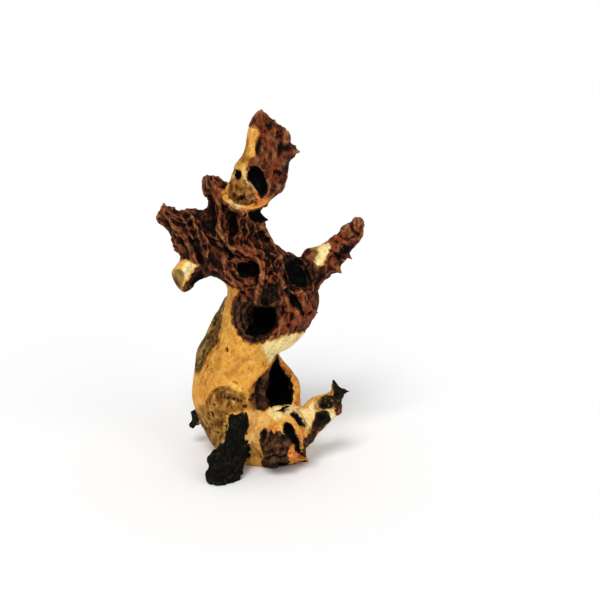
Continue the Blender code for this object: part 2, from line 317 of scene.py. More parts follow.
GRAIN_LINES = (
    GrainLine("stem", 33, ((-3, 16, -4), (-6, 10, 15), (-13, 9, 50), (-17, 6, 80), (-14, 3, 96),
                           (0, 0, 112), (8, -2, 130), (9, -2, 150), (-7, -2, 170), (-25, -2, 186),
                           (-33, -3, 202))),
    GrainLine("upright_limb", 17, ((-17, -3, 204), (-10, -6, 226), (-1, -8, 242), (5, -8, 265),
                                   (5, -6, 283), (1, -4, 297)), 0.6),
    GrainLine("left_lobe", 17, ((-20, -3, 180), (-41, -4, 190), (-58, -6, 200), (-72, -7, 210),
                                (-84, -8, 214))),
    GrainLine("nub", 10, ((-25, -2, 196), (-29, -3, 212), (-33, -4, 228), (-40, -6, 248))),
    GrainLine("sawn_stub", 11, ((-40, -5, 186), (-61, -15, 165), (-77, -23, 156))),
    GrainLine("right_limb", 12, ((25, 2, 152), (46, 2, 173), (67, 7, 188), (82, 9, 204)), 0.8),
    GrainLine("back_ridge", 9, ((-24, 10, 140), (-34, 12, 117), (-43, 13, 90), (-48, 13, 66))),
    GrainLine("front_lobe", 23, ((6, 4, 29), (13, -16, 31), (16, -38, 30))),
    GrainLine("side_shoot", 11, ((29, -7, 28), (48, -4, 45), (61, -2, 59))),
    GrainLine("front_foot", 14, ((-15, -19, 58), (-18, -26, 41), (-25, -33, 25), (-29, -36, 6),
                                 (-29, -36, -4))),
    GrainLine("left_spur", 6, ((-43, 20, 39), (-62, 29, 17))),
    GrainLine("back_left_foot", 12, ((-38, 12, 41), (-31, 31, 10), (-29, 36, -4))),
    GrainLine("back_foot", 13, ((15, 26, 40), (25, 45, -4))),
)


class Grain:
    """Coordinates in which every limb lies straight, so that a pattern drawn in them follows its fibres."""

    PIECES = 6
    JOIN_SOFTNESS = 2.5
    LEAST_SHARE = 0.03
    LIMBS_APART = 97.0
    FIRST_SIDE = (0.3, 1.0, 0.2)

    def __init__(self, places: np.ndarray) -> None:
        """Lays out the coordinates.

        Args:
            places: Points in millimetres, one in each row.
        """
        straight, away = [], []
        for number, line in enumerate(GRAIN_LINES):
            along_line, distance = self.straighten(places, np.array(line.path, float))
            straight.append(along_line + number * self.LIMBS_APART)
            away.append(distance - line.reach)
        away = np.array(away)
        share = np.exp(-(away - away.min(axis=0)) / self.JOIN_SOFTNESS)
        share[share < self.LEAST_SHARE] = 0
        self.shares = share / share.sum(axis=0)
        self.relief = np.array([line.relief for line in GRAIN_LINES]) @ self.shares
        self.straight = straight

    def straighten(self, places: np.ndarray, path: np.ndarray) -> tuple[np.ndarray, np.ndarray]:
        """Unbends the space round one line.

        Args:
            places: Points, one in each row.
            path: The bent line.

        Returns:
            The straightened points, with their run along the line last, and their distances from it.
        """
        line = smooth_line(path, self.PIECES)
        runs = np.gradient(line, axis=0)
        runs /= np.linalg.norm(runs, axis=1, keepdims=True)
        travelled = np.concatenate([[0], np.cumsum(np.linalg.norm(np.diff(line, axis=0), axis=1))])
        across = np.zeros_like(line)
        side = np.cross(runs[0], self.FIRST_SIDE)
        for number, run in enumerate(runs):
            side = side - run * (side @ run)
            side /= np.linalg.norm(side)
            across[number] = side
        deep = np.cross(runs, across)
        squared = (places**2).sum(axis=1)[:, None] - 2 * places @ line.T + (line**2).sum(axis=1)
        nearest = squared.argmin(axis=1)
        offset = places - line[nearest]
        on_run = (offset * runs[nearest]).sum(axis=1)
        straight = np.stack([
            (offset * across[nearest]).sum(axis=1),
            (offset * deep[nearest]).sum(axis=1),
            travelled[nearest] + on_run,
        ], axis=1)
        return straight, np.sqrt(np.maximum(squared[np.arange(len(places)), nearest], 0))

    def wave(self, places: np.ndarray, spacing: float, reach: float) -> None:
        """Lets the fibres wander from side to side.

        Args:
            places: The points that the coordinates were laid out for.
            spacing: Distance from one bend to the next, in millimetres.
            reach: How far a fibre wanders, in millimetres.
        """
        for axis in (0, 1):
            moved = Noise(Draw.WAVE + axis).at(places, spacing) * reach
            for straight in self.straight:
                straight[:, axis] += moved

    def pattern(self, noise: Noise, layer: ReliefLayer) -> np.ndarray:
        """Draws a noise that is stretched along the fibres.

        Args:
            noise: The noise to draw.
            layer: How large it is.

        Returns:
            One height in millimetres for each place.
        """
        read = noise.ridges if layer.ridged else noise.at
        height = np.zeros(self.shares.shape[1])
        for straight, share in zip(self.straight, self.shares):
            here = share > 0
            if here.any():
                height[here] += share[here] * read(straight[here] / (1, 1, layer.stretch), layer.spacing)
        return height * layer.height


class Form(Enum):
    """What a stroke leaves in the wood."""

    STRAND = "a raised strand of fibres"
    GROOVE = "a groove between strands, or a crack"
    PIT = "a rotted pit"
    BORE = "a round hole of a boring insect"
    SWELLING = "a rounded knob"
    PULL = "wood that stands out, or back, by the way from the first pixel to the last"


@dataclass(frozen=True)
class Stroke:
    """One mark on the wood, along a line of the photo's pixels, on the front or on the side behind it."""

    form: Form
    half_width: float
    height: float
    path: Pixels
    behind: bool = False


STROKE_PIECES = 8
STROKES = (
    # Splinters at the ends and edges of the limbs, and edges that stand back.
    Stroke(Form.PULL, 5.0, 1.0, ((293, 151), (302, 152))),
    Stroke(Form.PULL, 5.5, 1.0, ((260.5, 218), (270, 219))),
    Stroke(Form.PULL, 3.5, 1.0, ((165, 211), (164, 201))),
    Stroke(Form.PULL, 5.0, 1.0, ((345, 253), (354, 261))),
    Stroke(Form.PULL, 5.0, 1.0, ((333, 266), (342, 274))),
    Stroke(Form.PULL, 3.5, 1.0, ((353, 240), (350, 238))),
    Stroke(Form.PULL, 4.0, 1.0, ((207, 181), (207, 173))),
    Stroke(Form.PULL, 4.5, 1.0, ((340, 391), (352, 391))),
    Stroke(Form.PULL, 3.0, 1.0, ((334, 387), (333, 377))),
    Stroke(Form.PULL, 6.5, 1.0, ((342, 404), (336, 402))),
    Stroke(Form.PULL, 5.0, 1.0, ((341, 411), (337, 409))),
    Stroke(Form.PULL, 5.0, 1.0, ((329, 391), (333, 393))),
    Stroke(Form.PULL, 5.0, 1.0, ((260, 117), (262, 109))),
    Stroke(Form.PULL, 7.0, 1.0, ((250, 118), (255, 123))),
    Stroke(Form.PULL, 3.5, 1.0, ((272, 124), (275, 119))),
    Stroke(Form.PULL, 4.5, 1.0, ((285, 134), (289, 132))),
    Stroke(Form.PULL, 5.0, 1.0, ((219, 193), (227, 190))),
    Stroke(Form.PULL, 4.0, 1.0, ((178, 250), (174, 250))),
    Stroke(Form.PULL, 4.0, 1.0, ((313, 312), (318, 313))),
    Stroke(Form.PULL, 8.0, 1.0, ((302, 447), (309, 447))),
    Stroke(Form.PULL, 5.0, 1.0, ((304, 461), (311, 463))),
    Stroke(Form.PULL, 4.0, 1.0, ((214, 466), (205, 472))),
    Stroke(Form.PULL, 4.0, 1.0, ((229, 422), (226, 413))),
    # Strands of the left lobe and the nub.
    Stroke(Form.STRAND, 2.2, 1.8, ((163, 212), (172, 223), (181, 236), (189, 247), (191, 260))),
    Stroke(Form.STRAND, 2.4, 1.8, ((172, 209), (188, 213), (196, 227), (201, 243), (205, 262))),
    Stroke(Form.STRAND, 1.8, 1.4, ((181, 216), (186, 226), (193, 239))),
    Stroke(Form.STRAND, 2.0, 1.6, ((206, 243), (208, 252), (206, 262), (203, 274))),
    Stroke(Form.STRAND, 2.6, 2.2, ((213, 182), (217, 195), (220, 210), (219, 224), (222, 236), (230, 246),
                                   (243, 252), (257, 258), (261, 270), (260, 282), (257, 292),
                                   (256, 303))),
    Stroke(Form.STRAND, 1.6, 1.2, ((224, 225), (228, 232), (227, 240))),
    Stroke(Form.STRAND, 1.8, 1.6, ((225, 263), (228, 271), (235, 279), (242, 285))),
    Stroke(Form.STRAND, 1.5, 1.2, ((233, 260), (234, 269), (238, 277))),
    # Knobs and furrows of the right limb.
    Stroke(Form.SWELLING, 4.5, 1.6, ((357, 221),)),
    Stroke(Form.SWELLING, 4.5, 1.5, ((347, 229),)),
    Stroke(Form.SWELLING, 4.5, 1.4, ((342, 246),)),
    Stroke(Form.SWELLING, 4.0, 1.4, ((333, 262),)),
    Stroke(Form.SWELLING, 4.0, 1.3, ((333, 238),)),
    Stroke(Form.GROOVE, 2.0, 2.0, ((338, 232), (342, 238), (351, 240))),
    Stroke(Form.GROOVE, 2.0, 2.0, ((351, 219), (352, 228), (358, 234))),
    Stroke(Form.GROOVE, 2.0, 2.0, ((330, 250), (336, 254), (340, 262))),
    # Strands between the neck, the knot hole and the right shoulder.
    Stroke(Form.STRAND, 1.7, 1.4, ((243, 213), (242, 224), (240, 236), (238, 247))),
    Stroke(Form.STRAND, 1.9, 1.6, ((246, 215), (247, 228), (251, 241), (256, 254))),
    Stroke(Form.STRAND, 2.0, 1.7, ((254, 224), (259, 239), (264, 253), (271, 266), (275, 275))),
    Stroke(Form.STRAND, 2.2, 1.7, ((262, 227), (270, 240), (278, 254), (284, 268), (287, 280))),
    Stroke(Form.STRAND, 1.9, 1.5, ((262, 254), (264, 268), (263, 280), (262, 291))),
    Stroke(Form.STRAND, 1.7, 1.3, ((269, 262), (272, 271), (270, 281), (266, 288))),
    Stroke(Form.STRAND, 1.7, 1.3, ((279, 258), (280, 270), (277, 281))),
    Stroke(Form.STRAND, 2.0, 2.4, ((293, 257), (301, 259), (308, 267), (312, 278), (313, 290))),
    Stroke(Form.STRAND, 1.8, 1.4, ((283, 288), (292, 285), (302, 290), (309, 301), (314, 313))),
    Stroke(Form.STRAND, 1.6, 1.2, ((240, 291), (248, 288), (256, 287))),
    # Grooves and pits of the head.
    Stroke(Form.GROOVE, 4.0, 3.0, ((208, 198), (211, 208), (211, 220), (211, 231))),
    Stroke(Form.GROOVE, 2.0, 2.2, ((205, 231), (212, 241), (220, 249), (229, 253), (240, 258))),
    Stroke(Form.GROOVE, 2.6, 2.6, ((232, 214), (233, 226), (230, 237), (233, 243))),
    Stroke(Form.GROOVE, 2.0, 2.4, ((190, 238), (194, 247), (198, 254), (202, 263))),
    Stroke(Form.GROOVE, 1.5, 1.5, ((200, 226), (206, 235), (214, 240), (221, 243))),
    Stroke(Form.GROOVE, 2.0, 2.2, ((266, 281), (270, 286), (272, 292))),
    Stroke(Form.GROOVE, 3.0, 2.2, ((288, 291), (294, 299), (299, 306), (303, 313))),
    Stroke(Form.PIT, 2.8, 3.2, ((190, 223),)),
    Stroke(Form.PIT, 3.0, 3.0, ((231, 257),)),
    Stroke(Form.PIT, 2.6, 2.6, ((267, 240),)),
    Stroke(Form.PIT, 2.0, 2.2, ((273, 261),)),
    Stroke(Form.PIT, 2.2, 2.4, ((271, 273),)),
    Stroke(Form.PIT, 2.6, 3.2, ((310, 314),)),
    # The upright limb: its small knot, the pits under its curled edge and the crack at its right side.
    Stroke(Form.PIT, 4.4, 5.0, ((237.5, 174.5),)),
    Stroke(Form.GROOVE, 3.2, 1.8, ((232, 196), (239, 199), (247, 203), (256, 203))),
    Stroke(Form.PIT, 1.8, 1.6, ((242, 197),)),
    Stroke(Form.PIT, 1.5, 1.2, ((245, 181), (246, 184))),
    Stroke(Form.PIT, 2.2, 0.8, ((236, 187),)),
    Stroke(Form.GROOVE, 2.0, 2.4, ((277, 172), (282, 174), (286, 176))),
    Stroke(Form.STRAND, 1.9, 2.0, ((226, 202), (236, 205), (247, 208), (258, 207), (267, 202))),
    Stroke(Form.STRAND, 1.3, 1.2, ((247, 172), (250, 182), (256, 190), (264, 197), (272, 195))),
    Stroke(Form.BORE, 1.0, 2.5, ((246.5, 182),)),
    # Rings of the knot and of the rim round its hole.
    Stroke(Form.GROOVE, 1.7, 2.0, ((240, 297), (235, 306), (234, 318), (237, 329), (244, 337), (255, 340),
                                   (267, 337))),
    Stroke(Form.STRAND, 1.7, 1.5, ((243, 301), (239, 309), (238, 319), (241, 328), (248, 335),
                                   (257, 337))),
    Stroke(Form.GROOVE, 1.6, 2.0, ((248, 304), (242, 310), (242, 319), (245, 327), (251, 331))),
    Stroke(Form.SWELLING, 4.6, 1.2, ((248, 317),)),
    Stroke(Form.GROOVE, 1.3, 1.8, ((247, 313), (251, 316), (249, 321), (246, 319), (247, 313))),
    # Bore holes, nicks and cracks of the golden stem and the rotten knot low on its left.
    Stroke(Form.SWELLING, 4.5, 0.8, ((226.5, 350),)),
    Stroke(Form.BORE, 2.3, 4.5, ((226.5, 350),)),
    Stroke(Form.GROOVE, 3.2, 2.0, ((219, 303), (216, 315), (213, 326), (208, 336))),
    Stroke(Form.GROOVE, 2.2, 1.2, ((212, 338), (206, 346), (202, 356))),
    Stroke(Form.BORE, 1.2, 2.0, ((207, 354),)),
    Stroke(Form.BORE, 1.2, 2.5, ((207, 369),)),
    Stroke(Form.GROOVE, 1.8, 1.2, ((202, 377), (203, 371), (207, 366))),
    Stroke(Form.GROOVE, 1.2, 1.2, ((233, 382), (237, 384))),
    Stroke(Form.GROOVE, 0.7, 0.5, ((213, 372), (222, 374), (230, 378), (236, 383))),
    Stroke(Form.GROOVE, 0.8, 0.6, ((222, 347), (222, 354), (220, 360))),
    Stroke(Form.BORE, 1.5, 3.0, ((244, 406), (246, 406))),
    Stroke(Form.BORE, 1.4, 3.0, ((212, 413), (213, 416))),
    Stroke(Form.STRAND, 2.4, 0.9, ((206, 399), (211, 390), (219, 385), (229, 385), (238, 389),
                                   (248, 394))),
    Stroke(Form.GROOVE, 2.0, 0.9, ((208, 402), (212, 394), (219, 389), (228, 389), (237, 393),
                                   (248, 398))),
    Stroke(Form.GROOVE, 1.2, 0.8, ((220, 399), (221, 395), (225, 391))),
    Stroke(Form.PIT, 1.8, 2.2, ((228, 398),)),
    Stroke(Form.PIT, 1.6, 2.0, ((233.5, 399.5),)),
    Stroke(Form.PIT, 1.6, 2.0, ((214, 405),)),
    Stroke(Form.PIT, 1.9, 2.0, ((217, 433),)),
    Stroke(Form.GROOVE, 1.8, 1.0, ((206, 404), (208, 416), (206, 424))),
    Stroke(Form.GROOVE, 2.0, 1.0, ((212, 424), (216, 436), (214, 445))),
    Stroke(Form.GROOVE, 1.1, 1.2, ((222, 422), (221, 430), (224, 438))),
    Stroke(Form.GROOVE, 0.8, 0.8, ((247, 416), (255, 417), (262, 415))),
    # The front lobe: its knob with its loop and cracks, the deep slit beside it, the curl round that and the
    # pits above.
    Stroke(Form.SWELLING, 13.0, 5.0, ((276, 449),)),
    Stroke(Form.SWELLING, 7.0, 2.0, ((279, 444),)),
    Stroke(Form.SWELLING, 5.0, 2.0, ((289, 441),)),
    Stroke(Form.PIT, 3.4, 3.2, ((263, 433), (263, 438))),
    Stroke(Form.STRAND, 1.8, 2.2, ((266, 429), (269, 433), (268, 438), (265, 443))),
    Stroke(Form.GROOVE, 3.0, 1.6, ((272, 434), (279, 434), (286, 437))),
    Stroke(Form.GROOVE, 3.0, 1.8, ((262, 449), (269, 450), (274, 447))),
    Stroke(Form.GROOVE, 1.8, 3.2, ((268, 456), (274, 454), (282, 455), (290, 453))),
    Stroke(Form.STRAND, 1.8, 1.4, ((271, 428), (274, 433))),
    Stroke(Form.STRAND, 1.8, 1.4, ((278, 429), (281, 435))),
    Stroke(Form.PIT, 1.8, 1.4, ((282, 447),)),
    Stroke(Form.STRAND, 2.0, 1.8, ((285, 417), (292, 420), (299, 429), (302, 441), (303, 456))),
    Stroke(Form.GROOVE, 4.6, 7.0, ((287, 425), (290, 431), (294, 438), (297, 447), (301, 455))),
    Stroke(Form.PIT, 4.6, 5.0, ((288, 430),)),
    Stroke(Form.GROOVE, 3.2, 4.5, ((293, 414), (298, 417), (301, 423), (303, 427))),
    Stroke(Form.GROOVE, 1.6, 2.0, ((277, 410), (283, 409), (288, 406))),
    Stroke(Form.PIT, 1.3, 1.4, ((291, 407),)),
    Stroke(Form.GROOVE, 1.8, 2.0, ((304, 440), (304, 448), (304, 456))),
    # The right rim of the chamber's mouth, which is drawn inwards.
    Stroke(Form.PULL, 5.0, 1.0, ((289, 372), (285, 373))),
    Stroke(Form.PULL, 5.0, 1.0, ((294, 380), (290, 380))),
    Stroke(Form.PULL, 5.0, 1.0, ((296, 388), (292, 388))),
    Stroke(Form.PULL, 5.0, 1.0, ((297, 396), (293, 396))),
    Stroke(Form.PULL, 5.0, 1.0, ((298, 403), (294, 403))),
    # The side shoot's knots.
    Stroke(Form.PIT, 2.2, 1.8, ((321, 406),)),
    Stroke(Form.PIT, 2.4, 2.2, ((323, 419),)),
    Stroke(Form.GROOVE, 1.4, 1.6, ((314, 425), (310, 432), (309, 438))),
    Stroke(Form.GROOVE, 1.2, 1.4, ((334, 401), (339, 404))),
    # The back: a long hollow and a crack down the stem, two knots, bore holes and the pits of the head.
    Stroke(Form.GROOVE, 5.5, 6.0, ((262, 352), (266, 366), (266, 380), (262, 394), (258, 404)), True),
    Stroke(Form.STRAND, 2.0, 1.5, ((256, 348), (259, 362), (258, 378), (252, 398)), True),
    Stroke(Form.GROOVE, 1.0, 1.6, ((236, 330), (238, 348), (234, 366), (236, 384), (232, 402)), True),
    Stroke(Form.GROOVE, 0.9, 1.2, ((216, 352), (218, 372), (214, 392)), True),
    Stroke(Form.SWELLING, 9.0, 2.2, ((222, 402),), True),
    Stroke(Form.GROOVE, 1.1, 1.4, ((216, 402), (219, 396), (226, 396), (229, 403), (224, 409),
                                   (217, 407)), True),
    Stroke(Form.PIT, 2.4, 3.4, ((223, 402),), True),
    Stroke(Form.BORE, 1.5, 4.0, ((246, 366),), True),
    Stroke(Form.BORE, 1.3, 3.5, ((242, 418),), True),
    Stroke(Form.BORE, 1.2, 3.5, ((228, 344),), True),
    Stroke(Form.PIT, 3.4, 3.2, ((272, 426),), True),
    Stroke(Form.PIT, 5.0, 5.0, ((252, 246), (256, 252)), True),
    Stroke(Form.PIT, 4.0, 4.0, ((206, 226),), True),
    Stroke(Form.PIT, 5.0, 5.0, ((290, 290), (286, 298)), True),
    Stroke(Form.GROOVE, 3.4, 3.6, ((232, 222), (238, 240), (236, 258), (242, 276), (250, 296)), True),
    Stroke(Form.GROOVE, 2.6, 3.0, ((262, 262), (270, 284), (272, 310), (266, 328)), True),
    Stroke(Form.GROOVE, 2.4, 2.6, ((180, 216), (194, 232), (206, 252)), True),
    Stroke(Form.GROOVE, 2.6, 3.0, ((270, 140), (272, 160), (268, 180)), True),
    Stroke(Form.STRAND, 2.6, 2.4, ((216, 200), (224, 222), (222, 244), (232, 268), (238, 290)), True),
    Stroke(Form.STRAND, 2.4, 2.0, ((250, 216), (262, 240), (276, 262), (284, 284)), True),
)


class Tint(Enum):
    """A finish that a patch of the wood has, with painted highlight in the pale patches and painted shade in
    some dark ones.
    """

    SAPWOOD = "sapwood"
    HEARTWOOD = "heartwood"
    BLEACHED_AND_HIGHLIGHT = "bleached_and_highlight"
    STAINED_AND_SHADE = "stained_and_shade"
    OLIVE_AND_SHADE = "olive_and_shade"
    RUSTY = "rusty"
    REDDISH = "reddish"
    BROWN = "brown_and_shade"
    CHARRED_AND_SHADE = "charred_and_shade"
    ROT_AND_SHADE = "rot_and_shade"


@dataclass(frozen=True)
class Patch:
    """An area of one finish, outlined in photo pixels and cut off at a depth from the front.

    A faint patch counts as no further inside than its most.
    """

    tint: Tint
    outline: Pixels
    from_y: float = -200.0
    to_y: float = 200.0
    most: float = 30.0


